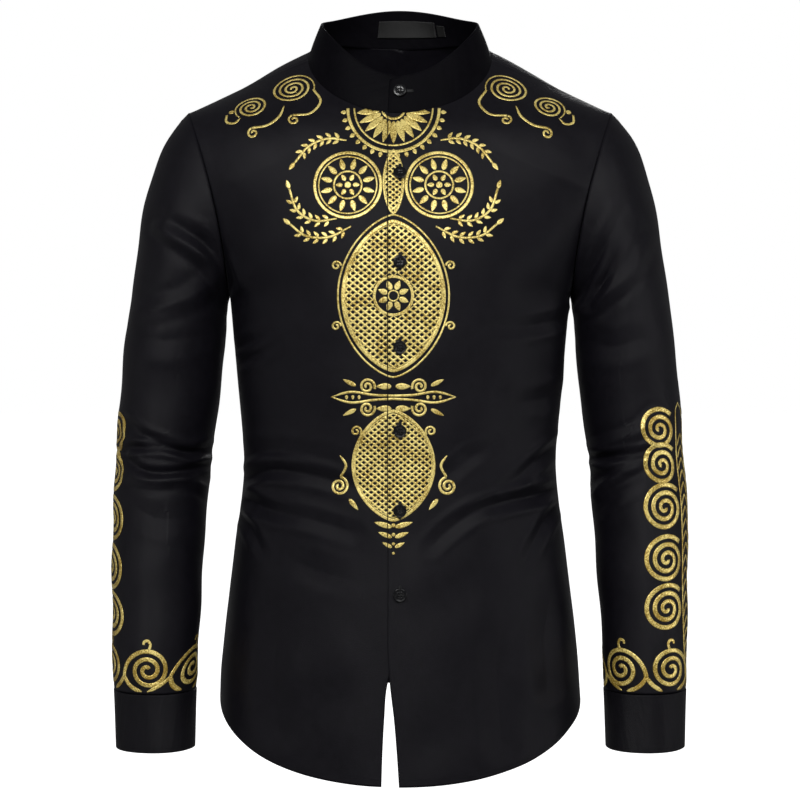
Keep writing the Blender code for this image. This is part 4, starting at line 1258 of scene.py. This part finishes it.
# %% Front ornament
ORNAMENT_X = -0.0065
PLACKET_X = -LAP
FAN_Z, ROSETTE_Z, SPINDLE_Z = -0.0560, -0.1360, -0.1330
LEAF_Z, SCROLL_Z, LOW_LEAF_Z = -0.2470, -0.3470, -0.4150


def pointed_oval(centre, half_width, half_height, fullness=1.35, count=30):
    """The outline of a pointed leaf."""
    angle = np.linspace(-math.pi / 2, math.pi / 2, count)
    right = np.stack([half_width * np.cos(angle) ** fullness, half_height * np.sin(angle)], -1)
    left = right[::-1][1:-1] * np.array([-1, 1])
    return np.vstack([right, left]) + np.array(centre)


def petals(centre, degrees, first, last, width):
    """Drops round a centre, each from one distance out to another."""
    made = []
    for angle in np.radians(degrees):
        ahead = np.array([math.cos(angle), math.sin(angle)])
        made.append(drop(np.array(centre) + ahead * first, np.array(centre) + ahead * last, width))
    return made


def fan():
    """Half a rosette under the collar."""
    centre = (ORNAMENT_X, FAN_Z)
    rings = ((0.0460, 0.0030), (0.0395, 0.0018), (0.0115, 0.0024))
    strokes = [stroke(arc(centre, radius, 180, 360), width) for radius, width in rings]
    strokes += petals(centre, 188 + 16.4 * np.arange(11), 0.0140, 0.0375, 0.0076)
    return strokes + petals(centre, 185 + 10 * np.arange(18), 0.0478, 0.0535, 0.0042)


def rosette(centre, radius):
    """Twelve petals between rings, round a small flower."""
    rings = ((1.0, 0.0030), (0.88, 0.0016), (0.42, 0.0020))
    strokes = [ring(centre, radius * share, width) for share, width in rings]
    strokes.append(dot(centre, radius * 0.10))
    for count, start, first, last, width in ((12, 15, 0.48, 0.84, 0.0056), (6, 0, 0.15, 0.37, 0.0046)):
        degrees = start + 360 / count * np.arange(count)
        strokes += petals(centre, degrees, radius * first, radius * last, width)
    return strokes


def spray():
    """Curved stems with leaves, beside and below a rosette. Drawn for the wearer's left."""
    x = ORNAMENT_X
    strokes = []
    stems = (
        ([(x + 0.047, -0.0900), (x + 0.066, -0.0880), (x + 0.085, -0.0960), (x + 0.099, -0.1130)], 6),
        ([(x + 0.056, -0.1700), (x + 0.078, -0.1720), (x + 0.096, -0.1610), (x + 0.104, -0.1390)], 6),
        ([(x + 0.042, -0.1780), (x + 0.064, -0.1885), (x + 0.087, -0.1870), (x + 0.103, -0.1750)], 6),
    )
    for corners, leaves in stems:
        strokes.append(line(corners, 0.0024, ends=(0.6, 0.9)))
        track = smooth_line(corners, 40)
        for number in range(leaves):
            i = int(5 + 31 * number / leaves)
            ahead = track[i + 2] - track[i]
            ahead /= np.linalg.norm(ahead)
            beside = np.array([-ahead[1], ahead[0]])
            for sign in (1, -1):
                start = track[i] + beside * sign * 0.0014
                strokes.append(drop(start, start + (ahead * 0.72 + beside * sign * 0.62) * 0.0074, 0.0034))
        ahead = (track[-1] - track[-3]) / np.linalg.norm(track[-1] - track[-3])
        strokes.append(drop(track[-1], track[-1] + ahead * 0.0090, 0.0044))
    return strokes


def spindle():
    """The edge of a narrow leaf between the rosettes. A net fills it later."""
    return [outline(pointed_oval((ORNAMENT_X, SPINDLE_Z), 0.0098, 0.0325, 1.5), 0.0022)]


def big_leaf():
    """The long leaf's edges, its centre flower and the scrolls beside it."""
    x = ORNAMENT_X
    strokes = []
    for grow, width in ((0.0, 0.0034), (0.0050, 0.0018)):
        edge = pointed_oval((x, LEAF_Z), 0.0500 + grow, 0.0740 + grow * 1.3, count=60)
        strokes.append(outline(edge, width))
    strokes += [ring((x, LEAF_Z), radius, width) for radius, width in ((0.0190, 0.0028), (0.0052, 0.0014))]
    strokes += petals((x, LEAF_Z), 22.5 + 45 * np.arange(8), 0.0062, 0.0160, 0.0058)
    size, off = 0.0048, 0.030
    edge_x = x + 0.0560 * math.cos(math.asin(off / 0.0805)) ** 1.35
    sides = [
        coil((edge_x + size + 0.0012, LEAF_Z + k * off), size, 0.0010, 1.3, 180, -1, 0.0020, step=HOOK_STEP)
        for k in (1, -1)
    ]
    return strokes + mirrored(sides, x)


def scrolls():
    """Scrolls and bars between the two leaves."""
    x, z = ORNAMENT_X, SCROLL_Z
    over = [(x, z + 0.0012), (x + 0.020, z + 0.0020), (x + 0.042, z + 0.0050), (x + 0.062, z)]
    under = [(x, z - 0.0018), (x + 0.020, z - 0.0030), (x + 0.042, z - 0.0055), (x + 0.062, z)]
    half = [
        coil((x + 0.0260, z + 0.0105), 0.0078, 0.0012, 1.7, 200, -1, 0.0024, step=HOOK_STEP),
        coil((x + 0.0260, z - 0.0115), 0.0078, 0.0012, 1.7, 160, 1, 0.0024, step=HOOK_STEP),
        line(over, 0.0024, (1, 0.3)),
        line(under, 0.0024, (1, 0.3)),
        drop((x + 0.002, z + 0.0105), (x + 0.017, z + 0.0105), 0.0064),
        drop((x + 0.002, z - 0.0115), (x + 0.017, z - 0.0115), 0.0064),
        drop((x + 0.037, z + 0.0110), (x + 0.050, z + 0.0175), 0.0044),
        drop((x + 0.037, z - 0.0120), (x + 0.050, z - 0.0185), 0.0044),
    ]
    for number in range(3):
        u = x + 0.0340 + 0.0062 * number
        half.append(drop((u, z + 0.0018), (u, z - 0.0026), 0.0030))
    return mirrored(half, x)


def low_leaf():
    """The smaller leaf's edge, the drops beside it and the beads below it."""
    x, z = ORNAMENT_X, LOW_LEAF_Z
    strokes = [outline(pointed_oval((x, z), 0.0400, 0.0540, count=50), 0.0030)]
    half = [
        coil((x + 0.0540, z - 0.0205), 0.0092, 0.0012, 1.9, 100, 1, 0.0026, step=HOOK_STEP),
        line([(x + 0.0524, z - 0.0113), (x + 0.0470, z), (x + 0.0530, z + 0.0100)], 0.0024, (1, 0.4)),
        drop((x + 0.0440, z - 0.0330), (x + 0.0350, z - 0.0440), 0.0046),
        coil((x + 0.0370, z + 0.0340), 0.0056, 0.0010, 1.4, 220, -1, 0.0020, step=HOOK_STEP),
    ]
    for number in range(3):
        low = z - 0.0610 - 0.0100 * number
        tail = (x + 0.0190 - 0.0040 * number, low + 0.0050)
        half.append(drop((x + 0.0014, low), tail, 0.0054 - 0.0008 * number))
    for number in range(4):
        strokes.append(dot((x, z - 0.0590 - 0.0092 * number), 0.0020 - 0.0002 * number))
    return strokes + mirrored(half, x)


ROSETTE_RADIUS, ROSETTE_OFF = 0.0330, 0.0455
one_side = rosette((ORNAMENT_X + ROSETTE_OFF, ROSETTE_Z), ROSETTE_RADIUS) + spray()
front_strokes = fan() + mirrored(one_side, ORNAMENT_X)
front_strokes += spindle() + big_leaf() + scrolls() + low_leaf()
print(len(front_strokes), "strokes in the front ornament")

# %% Front film
RAY_START_Y = -0.4


def from_the_front(u, v):
    """Seen from the front, a flat point (u, v) is a place (x, z)."""
    return (u, RAY_START_Y, v), (0, 1, 0)


def front_drawing():
    """The strokes and the three nets, all flat."""
    narrow = pointed_oval((ORNAMENT_X, SPINDLE_Z), 0.0090, 0.0315, 1.5, count=24)
    upper = pointed_oval((ORNAMENT_X, LEAF_Z), 0.0485, 0.0718, count=40)
    lower = pointed_oval((ORNAMENT_X, LOW_LEAF_Z), 0.0385, 0.0518, count=32)
    return [
        stroke_mesh(front_strokes),
        net_mesh(narrow, 0.0042, 0.00088),
        net_mesh(upper, 0.0050, 0.00100, holes=(((ORNAMENT_X, LEAF_Z), 0.0205),)),
        net_mesh(lower, 0.0046, 0.00092),
    ]


for word, clip in (("left", (PLACKET_X + 0.0002, 1)), ("right", (PLACKET_X - 0.0006, -1))):
    panel = "front_panel_" + word
    lay_film("front_print_" + word, front_drawing(), from_the_front, panel, foil_front, clip)

# %% [markdown]
# ## The scrolls on the shoulders
# They lie on the slope beside the collar, so they are drawn flat on a sheet that leans as the shoulder does.

# %% Shoulder film
SHOULDER_SPOT = (0.1215, -0.0400, -0.0455)
SHOULDER_NORMAL = (0.30, -0.62, 0.72)
SHOULDER_ALONG = (0.91, 0.0, -0.41)
SHOULDER_RAY = 0.1


def leaning(side):
    """Rays for a drawing that lies on a shoulder. u runs out along the shoulder, v up towards its seam."""
    flip = Vector((side, 1, 1))
    normal = (Vector(SHOULDER_NORMAL) * flip).normalized()
    along = Vector(SHOULDER_ALONG) * flip
    along = (along - normal * along.dot(normal)).normalized()
    up = along.cross(normal) * side
    up = -up if up.z < 0 else up
    middle = Vector(SHOULDER_SPOT) * flip

    def aim(u, v):
        return middle + along * u + up * v + normal * SHOULDER_RAY, -normal

    return aim


def shoulder_scrolls():
    """Two coils with curled stems under them."""
    return [
        coil((-0.0160, 0.0060), 0.0225, 0.0010, 3.6, 210, -1, 0.0024, (0.5, 1.0)),
        coil((0.0300, -0.0015), 0.0175, 0.0010, 3.0, 330, 1, 0.0024, (0.5, 1.0)),
        line([(-0.0350, -0.0050), (-0.0365, -0.0250), (-0.0220, -0.0370), (-0.0050, -0.0330)], 0.0025),
        coil((-0.0043, -0.0388), 0.0058, 0.0012, 1.2, 90, -1, 0.0022, step=HOOK_STEP),
        line([(-0.0010, -0.0170), (0.0080, -0.0290), (0.0230, -0.0345), (0.0380, -0.0305)], 0.0025, (0.4, 1)),
        coil((0.0386, -0.0363), 0.0058, 0.0012, 1.2, 90, -1, 0.0022, step=HOOK_STEP),
        line([(0.0440, -0.0120), (0.0520, -0.0150), (0.0590, -0.0080), (0.0560, 0.0010)], 0.0024, (0.4, 1)),
        dot((0.0505, 0.0025), 0.0028),
        drop((-0.0450, 0.0060), (-0.0540, 0.0170), 0.0052),
        drop((-0.0430, 0.0170), (-0.0480, 0.0280), 0.0045),
    ]


for word, side in SIDES.items():
    panel = "front_panel_" + word
    lay_film("shoulder_print_" + word, [stroke_mesh(shoulder_scrolls())], leaning(side), panel, foil_front)

# %% [markdown]
# ## The spirals on the sleeves
# A column of five spirals runs down the outside of each lower arm beside a strip of slanted bars, and a row
# of five goes round above the cuff. Their places are angles round the sleeve and heights, so a ray goes from
# outside towards the sleeve's axis. The two sleeves hang turned by different amounts, and so does the print.

# %% Sleeve film
COLUMN_HEIGHTS = {
    "left": (-0.3795, -0.4150, -0.4575, -0.5085, -0.5565),
    "right": (-0.3840, -0.4245, -0.4710, -0.5200, -0.5670),
}
# Angles round the sleeve, in degrees: 270 is the front and 360 the outside
COLUMN_ANGLE = {"left": 297.0, "right": 344.0}
ROW_ANGLE = {"left": 231.0, "right": 275.0}
STRIP_U = 0.0340
COIL_STRETCH = 1.10
STRIP_LOW = -0.6400
ROW_Z = -0.6170
ROW_COUNT = 5
ROW_BAND = 0.0043
COLUMN_BAND = 0.0046
# Spirals with a neighbour nearer than this are the smaller ones
COLUMN_NEAR = 0.042
BIG_COIL, SMALL_COIL, COIL_PITCH = 0.0238, 0.0212, 0.0083
STRIP_HALF, STRIP_LINE, BAR_PITCH = 0.0090, 0.0024, 0.0122
STRIP_RISE = 0.0270
# Where a sleeve's rings begin to tilt, over what height, and how far from the axis a ray begins
TILT_TOP, TILT_RUN, SLEEVE_RAY = -0.36, 0.25, 0.12


def round_the_sleeve(side, first_angle):
    """Rays for a drawing wrapped round a sleeve. u runs round it towards the outside, v is the height."""

    def aim(u, v):
        middle_x, half_width, middle_y, half_depth = read_table(SLEEVE, v)
        angle = math.radians(first_angle) + u / ((half_width + half_depth) / 2)
        tilt = WRIST_DIP * half_depth * math.sin(angle) * float(ease((TILT_TOP - v) / TILT_RUN))
        ahead = Vector((math.cos(angle) * half_width, math.sin(angle) * half_depth, 0)).normalized()
        origin = Vector((middle_x, middle_y, v + tilt)) + ahead * SLEEVE_RAY
        return (side * origin.x, origin.y, origin.z), (-side * ahead.x, -ahead.y, 0)

    return aim


def spiral_column(heights):
    """Spirals one above the other, each one begun at the strip's edge and wound inwards."""
    strokes = []
    for z in heights:
        near = min(abs(z - other) for other in heights if other != z)
        size = BIG_COIL if near > COLUMN_NEAR else SMALL_COIL
        wound = coil((0.0, z), size, 0.0012, size / COIL_PITCH, 44, 1, COLUMN_BAND, (1.0, 0.8))
        points, half, closed = wound
        strokes.append((points * (COIL_STRETCH, 1.0), half, closed))
    return strokes


def bar_strip(top, low):
    """Slanted bars that meet in a row of arrow heads, between two edge lines."""
    strokes = []
    for sign in (1, -1):
        side = sign * STRIP_HALF
        edge = [(0.0, top), (side * 1.1, top - 0.0220), (side * 0.9, (top + low) / 2)]
        edge += [(side, low + 0.0600), (sign * 0.0030, low)]
        strokes.append(line(edge, STRIP_LINE, (0.5, 0.6)))
        for z in np.arange(low + 0.0360, top - 0.0200, BAR_PITCH):
            strokes.append(line([(0.0, z), (side * 0.5, z - 0.0052), (side * 0.9, z - 0.0115)], STRIP_LINE))
    return [(points + np.array([STRIP_U, 0.0]), half, closed) for points, half, closed in strokes]


def cuff_row():
    """Spirals with a hook on top. Each begins in a leg, and a second leg spreads from it down to the cuff."""
    radius = (read_table(SLEEVE, ROW_Z)[1] + read_table(SLEEVE, ROW_Z)[3]) / 2
    share = np.linspace(0, 1, 140)
    degrees = -18 + 888 * share
    flare = 0.0055 * (np.maximum(60 - degrees, 0) / 78) ** 2
    reach = 0.0010 + 0.0205 * (1 - share) + flare + 0.0009 * (1 - np.cos(np.radians(degrees - 90)))
    angle = np.radians(degrees)
    strokes = []
    for number in range(ROW_COUNT):
        u = 2 * math.pi * radius / ROW_COUNT * number
        wound = np.stack([u + reach * np.cos(angle), ROW_Z + 0.96 * reach * np.sin(angle)], -1)
        strokes.append(stroke(wound, ROW_BAND, (1.0, 0.9)))
        fork = tuple(wound[0])
        far_leg = [fork, (u + 0.0335, ROW_Z - 0.0165), (u + 0.0425, ROW_Z - 0.0226)]
        near_leg = [fork, (u + 0.0212, ROW_Z - 0.0155), (u + 0.0145, ROW_Z - 0.0200)]
        near_leg.append((u + 0.0065, ROW_Z - 0.0226))
        strokes += [line(leg, ROW_BAND, (0.95, 0.25)) for leg in (far_leg, near_leg)]
        hook = [(u - 0.0008, ROW_Z + 0.0195), (u - 0.0022, ROW_Z + 0.0250), (u + 0.0004, ROW_Z + 0.0288)]
        hook += [(u + 0.0042, ROW_Z + 0.0278), (u + 0.0048, ROW_Z + 0.0248)]
        strokes.append(line(hook, 0.0028, (1.0, 0.8), HOOK_STEP))
    return strokes


for word, side in SIDES.items():
    panel = "sleeve_cloth_" + word
    heights = COLUMN_HEIGHTS[word]
    columns = mirrored(spiral_column(heights), STRIP_U) + bar_strip(heights[0] + STRIP_RISE, STRIP_LOW)
    jobs = (("columns", columns, COLUMN_ANGLE[word]), ("row", cuff_row(), ROW_ANGLE[word]))
    for job, strokes, angle in jobs:
        aim = round_the_sleeve(side, angle)
        lay_film(f"sleeve_{job}_{word}", [stroke_mesh(strokes)], aim, panel, foil_sleeve_shaded)

# %% [markdown]
# ## Buttons
# A shirt button is turned or pressed from polyester: a disc with a rounded rim, a dished middle and four
# holes, sewn on with two bars of thread. It is made once from a cylinder, with insets for the rim and the
# dish and a boolean for the holes. Each copy gets the place and lean of its button in the CAD model.

# %% Button
BUTTON_RADIUS = 0.0067
BUTTON_HEIGHT = 0.0021
BUTTON_RIM = 0.0015
RIM_RISE = 0.0006
DISH_DEPTH = 0.0007
HOLE_RADIUS = 0.00070
HOLE_SPREAD = 0.00125
BUTTON_ROUNDING, HOLE_ROUNDING = 0.00055, 0.00016
SHANK = 0.0022
BUTTON_SEAT = 0.0010
# How far in front of a button's solid the search for the cloth begins
SEARCH_FROM = 0.02


def plain_finish(name, colour, roughness, **constants):
    """A finish with a little unevenness in its shine and colour."""
    finish = Finish(name, **constants)
    patches = finish.noise(0.006)
    finish.feed(Base_Color=finish.mix(patches, shade_of(colour, 0.75), colour))
    finish.feed(Roughness=patches * 0.08 + roughness)
    return finish.material


button_black = plain_finish("black_button", (0.005, 0.005, 0.006, 1.0), 0.12, Specular_IOR_Level=0.32)
thread_black = plain_finish("black_thread", (0.007, 0.007, 0.008, 1.0), 0.45, Specular_IOR_Level=0.2)


def add_cylinder(radius, height, place, sides=40, turn=(0, 0, 0)):
    """A cylinder about its middle, with nothing else selected."""
    bpy.ops.object.select_all(action="DESELECT")
    sizes = {"vertices": sides, "radius": radius, "depth": height}
    bpy.ops.mesh.primitive_cylinder_add(location=place, rotation=turn, **sizes)
    bpy.ops.object.transform_apply(location=True, rotation=True)
    return bpy.context.object


def join(first, *others):
    """Joins the others to the first one."""
    bpy.ops.object.select_all(action="DESELECT")
    for piece in (first, *others):
        piece.select_set(True)
    bpy.context.view_layer.objects.active = first
    bpy.ops.object.join()
    return first


def make_button():
    """A button with its back on the plane z = 0 and its face up."""
    button = add_cylinder(BUTTON_RADIUS, BUTTON_HEIGHT, (0, 0, BUTTON_HEIGHT / 2))
    for face in button.data.polygons:
        face.select = face.normal.z > 0.9
    bpy.ops.object.mode_set(mode="EDIT")
    bpy.ops.mesh.inset(thickness=BUTTON_RIM, depth=RIM_RISE)
    bpy.ops.mesh.inset(thickness=0.0003, depth=0)
    bpy.ops.mesh.inset(thickness=0.0016, depth=-DISH_DEPTH)
    bpy.ops.object.mode_set(mode="OBJECT")
    round_off(button, BUTTON_ROUNDING, 4, 28)
    drills = [
        add_cylinder(HOLE_RADIUS, 0.01, (HOLE_SPREAD * across, HOLE_SPREAD * along, 0), 14)
        for across in (1, -1)
        for along in (1, -1)
    ]
    drill = join(*drills)
    apply_modifier(button, "BOOLEAN", object=drill, operation="DIFFERENCE", solver="EXACT")
    bpy.data.objects.remove(drill)
    round_off(button, HOLE_ROUNDING, 2, 50)
    button.data.shade_smooth()
    button.data.set_sharp_from_angle(angle=math.radians(40))
    button.data.materials.clear()
    return button


def make_thread():
    """The two bars of thread that show between the holes, and the shank of thread under the button."""
    level = BUTTON_HEIGHT + RIM_RISE - DISH_DEPTH + 0.0001
    lying = (0, math.radians(90), 0)
    bars = [add_cylinder(0.0004, HOLE_SPREAD * 2.3, (0, HOLE_SPREAD * k, level), 12, lying) for k in (1, -1)]
    shank = add_cylinder(0.0012, SHANK, (0, 0, 0.0003 - SHANK / 2), 16)
    thread = join(*bars, shank)
    thread.data.shade_smooth()
    thread.data.materials.clear()
    return thread


# Nodes further out than this belong to a sleeve
SLEEVE_FROM_X = 0.15


def node_place(name):
    """The middle of a flat CAD node's back and the direction that it faces, away from the body."""
    node = bpy.data.objects[name]
    spots = np.array([node.matrix_world @ vertex.co for vertex in node.data.vertices])
    middle = spots.mean(axis=0)
    facing = np.linalg.svd(spots - middle)[2][-1]
    body_x = math.copysign(SLEEVE[-1][1], middle[0]) if abs(middle[0]) > SLEEVE_FROM_X else 0.0
    body_y = SLEEVE[-1][3] if body_x else 0.0
    if facing @ (middle - np.array([body_x, body_y, middle[2]])) < 0:
        facing = -facing
    return middle + facing * ((spots - middle) @ facing).min(), facing


depsgraph = bpy.context.evaluated_depsgraph_get()
cloth_trees = [BVHTree.FromObject(piece, depsgraph) for piece in pieces.values()]
button_names = ["button_collar"] + [f"button_{number}" for number in range(1, 7)]
button_names += ["button_cuff_left", "button_cuff_right"]
pattern, thread_pattern = make_button(), make_thread()
buttons, threads = {}, {}
for name in button_names:
    place, facing = node_place(name)
    turn = Vector(facing).to_track_quat("Z", "Y").to_matrix().to_4x4()
    # The button's back stays a millimetre over the outermost cloth under it, clear of the buttonhole's rim
    origin, inwards = Vector(place + facing * SEARCH_FROM), Vector(-facing)
    depths = [tree.ray_cast(origin, inwards)[3] for tree in cloth_trees]
    nearest = min(depth for depth in depths if depth is not None)
    spot = Matrix.Translation(origin + inwards * (nearest - BUTTON_SEAT)) @ turn
    moved = (SEARCH_FROM - nearest + BUTTON_SEAT) * 1000
    print(name, "moved", round(moved, 2), "mm out from its solid's back")
    for made, kept, word, material in (
        (pattern, buttons, "_disc", button_black),
        (thread_pattern, threads, "_thread", thread_black),
    ):
        mesh = made.data.copy()
        mesh.transform(spot)
        kept[name] = add_object(name + word, mesh, material)
        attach(kept[name], "root")
    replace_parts(buttons[name], name)
bpy.data.objects.remove(pattern)
bpy.data.objects.remove(thread_pattern)
print(len(buttons), "buttons of", len(buttons["button_1"].data.polygons), "faces")

# %% [markdown]
# ## Buttonholes
# A buttonhole is a slit with a tight row of thread round it. It stands upright on the front and lies flat on
# the collar, so that the pull of the cloth keeps the button at its end. The thread is laid like the foil, as
# a dark bar with a raised ring on it.

# %% Buttonholes
HOLE_LENGTH = 0.0175
HOLE_WIDTH = 0.0030
SLIT_LIFT, RING_LIFT, RING_WALL = 0.00042, 0.00058, 0.00026


def buttonhole(centre, upright):
    """A bar and a ring round the slit, as flat strokes."""
    half = HOLE_LENGTH / 2
    across = np.array([0.0, 1.0]) if upright else np.array([1.0, 0.0])
    ends = [np.array(centre) + across * half * k for k in (-1, 1)]
    bar = stroke(np.array([ends[0], ends[1]]), HOLE_WIDTH, (0.6, 0.6))
    reach = HOLE_WIDTH / 2 - 0.0003
    turn = np.radians(np.linspace(-90, 90, 12)) + (math.pi / 2 if upright else 0)
    cap = np.stack([np.cos(turn), np.sin(turn)], -1) * reach
    rim = np.vstack([ends[1] + cap - across * reach, ends[0] - cap + across * reach])
    return bar, outline(rim, 0.0010, HOOK_STEP)


def sew_hole(name, centre, upright, panel):
    """Lays a buttonhole's bar and ring on a panel."""
    bar, thread_ring = buttonhole(centre, upright)
    for word, drawn, lift, wall in (
        ("_slit", bar, SLIT_LIFT, FILM_WALL),
        ("_ring", thread_ring, RING_LIFT, RING_WALL),
    ):
        flat = [stroke_mesh([drawn])]
        thread = lay_film(name + word, flat, from_the_front, panel, thread_black, lift=lift, wall=wall)


for number in range(1, 7):
    place, _ = node_place(f"button_{number}")
    sew_hole(f"hole_{number}", (0.0, place[2] + 0.0005), True, "front_panel_left")
place, _ = node_place("button_collar")
sew_hole("hole_collar", (0.0045, place[2]), False, "collar_band")

# %% [markdown]
# ## The label and the size tab
# A folded satin label is sewn inside the back of the collar, and a small tab beside it. Both are blank here.
# They are little panels of cloth that follow the band's inner face.

# %% Label and tab
LABEL_CLOTH, LABEL_GAP = 0.0010, 0.0003
LABEL_X, LABEL_RISES = (-0.0228, 0.0368), (0.28, 0.74)
TAB_X, TAB_RISES = (0.0385, 0.0465), (0.30, 0.66)
RIB_PITCH, RIB_RISE = 0.0007, 0.00003
SATIN_GREY = (0.007, 0.007, 0.007)


def satin_finish(name):
    """A shiny woven ribbon with fine ribs across it."""
    finish = Finish(name, Specular_IOR_Level=0.3, Sheen_Weight=0.03)
    layout = finish.add("ShaderNodeUVMap", {"uv_map": "cloth"})
    height = finish.add("ShaderNodeSeparateXYZ", None, {0: layout}, out=1)
    rib = (height * (2 * math.pi / RIB_PITCH)).op("SINE")
    patches = finish.noise(0.012)
    finish.feed(Base_Color=finish.mix(patches, shade_of(SATIN_GREY, 0.7), shade_of(SATIN_GREY, 1.3)))
    finish.feed(Roughness=patches * 0.12 + 0.26)
    finish.feed(Normal=finish.bump(rib * RIB_RISE, 0.6))
    return finish.material


def inside_patch(across, rises, columns, rows):
    """A grid on the inner face at the back of the collar, between two places across and two rises."""
    wall = BAND / 2 + LABEL_GAP + LABEL_CLOTH / 2
    inside = collar_points - outward(collar_points, (0.0, NECK["y"])) * wall
    behind = np.flatnonzero(inside[COLLAR_ROWS // 2, :, 1] > 0)[::-1]
    order = np.argsort(inside[COLLAR_ROWS // 2, behind, 0])
    places = np.linspace(*across, columns)
    j = np.interp(places, inside[COLLAR_ROWS // 2, behind, 0][order], behind[order].astype(float))
    grid_rises = np.linspace(COLLAR_LOW_RISE, 1, COLLAR_ROWS)
    i = np.interp(np.linspace(*rises, rows), grid_rises, range(COLLAR_ROWS))
    i, j = np.meshgrid(i, j, indexing="ij")
    row, column = i.astype(int), j.astype(int)
    s, t = (i - row)[..., None], (j - column)[..., None]
    low = inside[row, column] * (1 - t) + inside[row, column + 1] * t
    top = inside[row + 1, column] * (1 - t) + inside[row + 1, column + 1] * t
    return low * (1 - s) + top * s


def near_the_ends(u, v):
    """Distance from the nearer short end, set so that the stitches run 2 mm inside it."""
    return np.minimum(u, u[:, -1:] - u) + STITCH_INSET - BAND_STITCH_INSET


label_black = satin_finish("black_satin")
tab_black = satin_finish("black_satin_tab")
patches_cut = (
    ("neck_label_ribbon", LABEL_X, LABEL_RISES, 60, 20, label_black, "neck_label"),
    ("size_tab_ribbon", TAB_X, TAB_RISES, 12, 16, tab_black, "size_tab"),
)
label_grids = {}
for name, across, rises, columns, rows, material, node in patches_cut:
    label_grids[name] = inside_patch(across, rises, columns, rows)
    pieces[name], areas[name] = grid_piece(name, [label_grids[name]], LABEL_CLOTH, material, near_the_ends)
    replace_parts(pieces[name], node)

# %% [markdown]
# ## Fixing everything to the frame
# Nothing moves on this shirt, so every piece rides on the root. Each cloth piece stands for its plain solid,
# and the flat size of each cut panel goes with it.

# %% Ride, replace and finish
for name in ("front_panel_left", "front_panel_right"):
    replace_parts(pieces[name], name.replace("front_panel", "front"))
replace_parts(pieces["back_panel"], "back")
for word in ("left", "right"):
    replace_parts(pieces["sleeve_cloth_" + word], "sleeve_" + word)
    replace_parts(pieces["cuff_band_" + word], "cuff_" + word)
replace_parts(pieces["collar_band"], "collar")
for piece in pieces.values():
    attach(piece, "root")

cuts = {
    "front_panel_left": ([front_grids["left"]], "hung"),
    "front_panel_right": ([front_grids["right"]], "hung"),
    "back_panel": (back_halves, "hung"),
    "sleeve_cloth_left": ([sleeve_grids["left"]], "hung"),
    "sleeve_cloth_right": ([sleeve_grids["right"]], "hung"),
    "collar_band": ([collar_points], "folded"),
    "cuff_band_left": ([cuff_grids["left"]], "folded"),
    "cuff_band_right": ([cuff_grids["right"]], "folded"),
    "neck_label_ribbon": ([label_grids["neck_label_ribbon"]], "laid"),
}
# The tab is under a centimetre wide, so it counts as a part of the collar
laid_on["collar_band"].append(pieces["size_tab_ribbon"])
for name, (grids, held) in cuts.items():
    across = sum(np.linalg.norm(np.diff(grid, axis=1), axis=-1).sum(axis=1) for grid in grids).max()
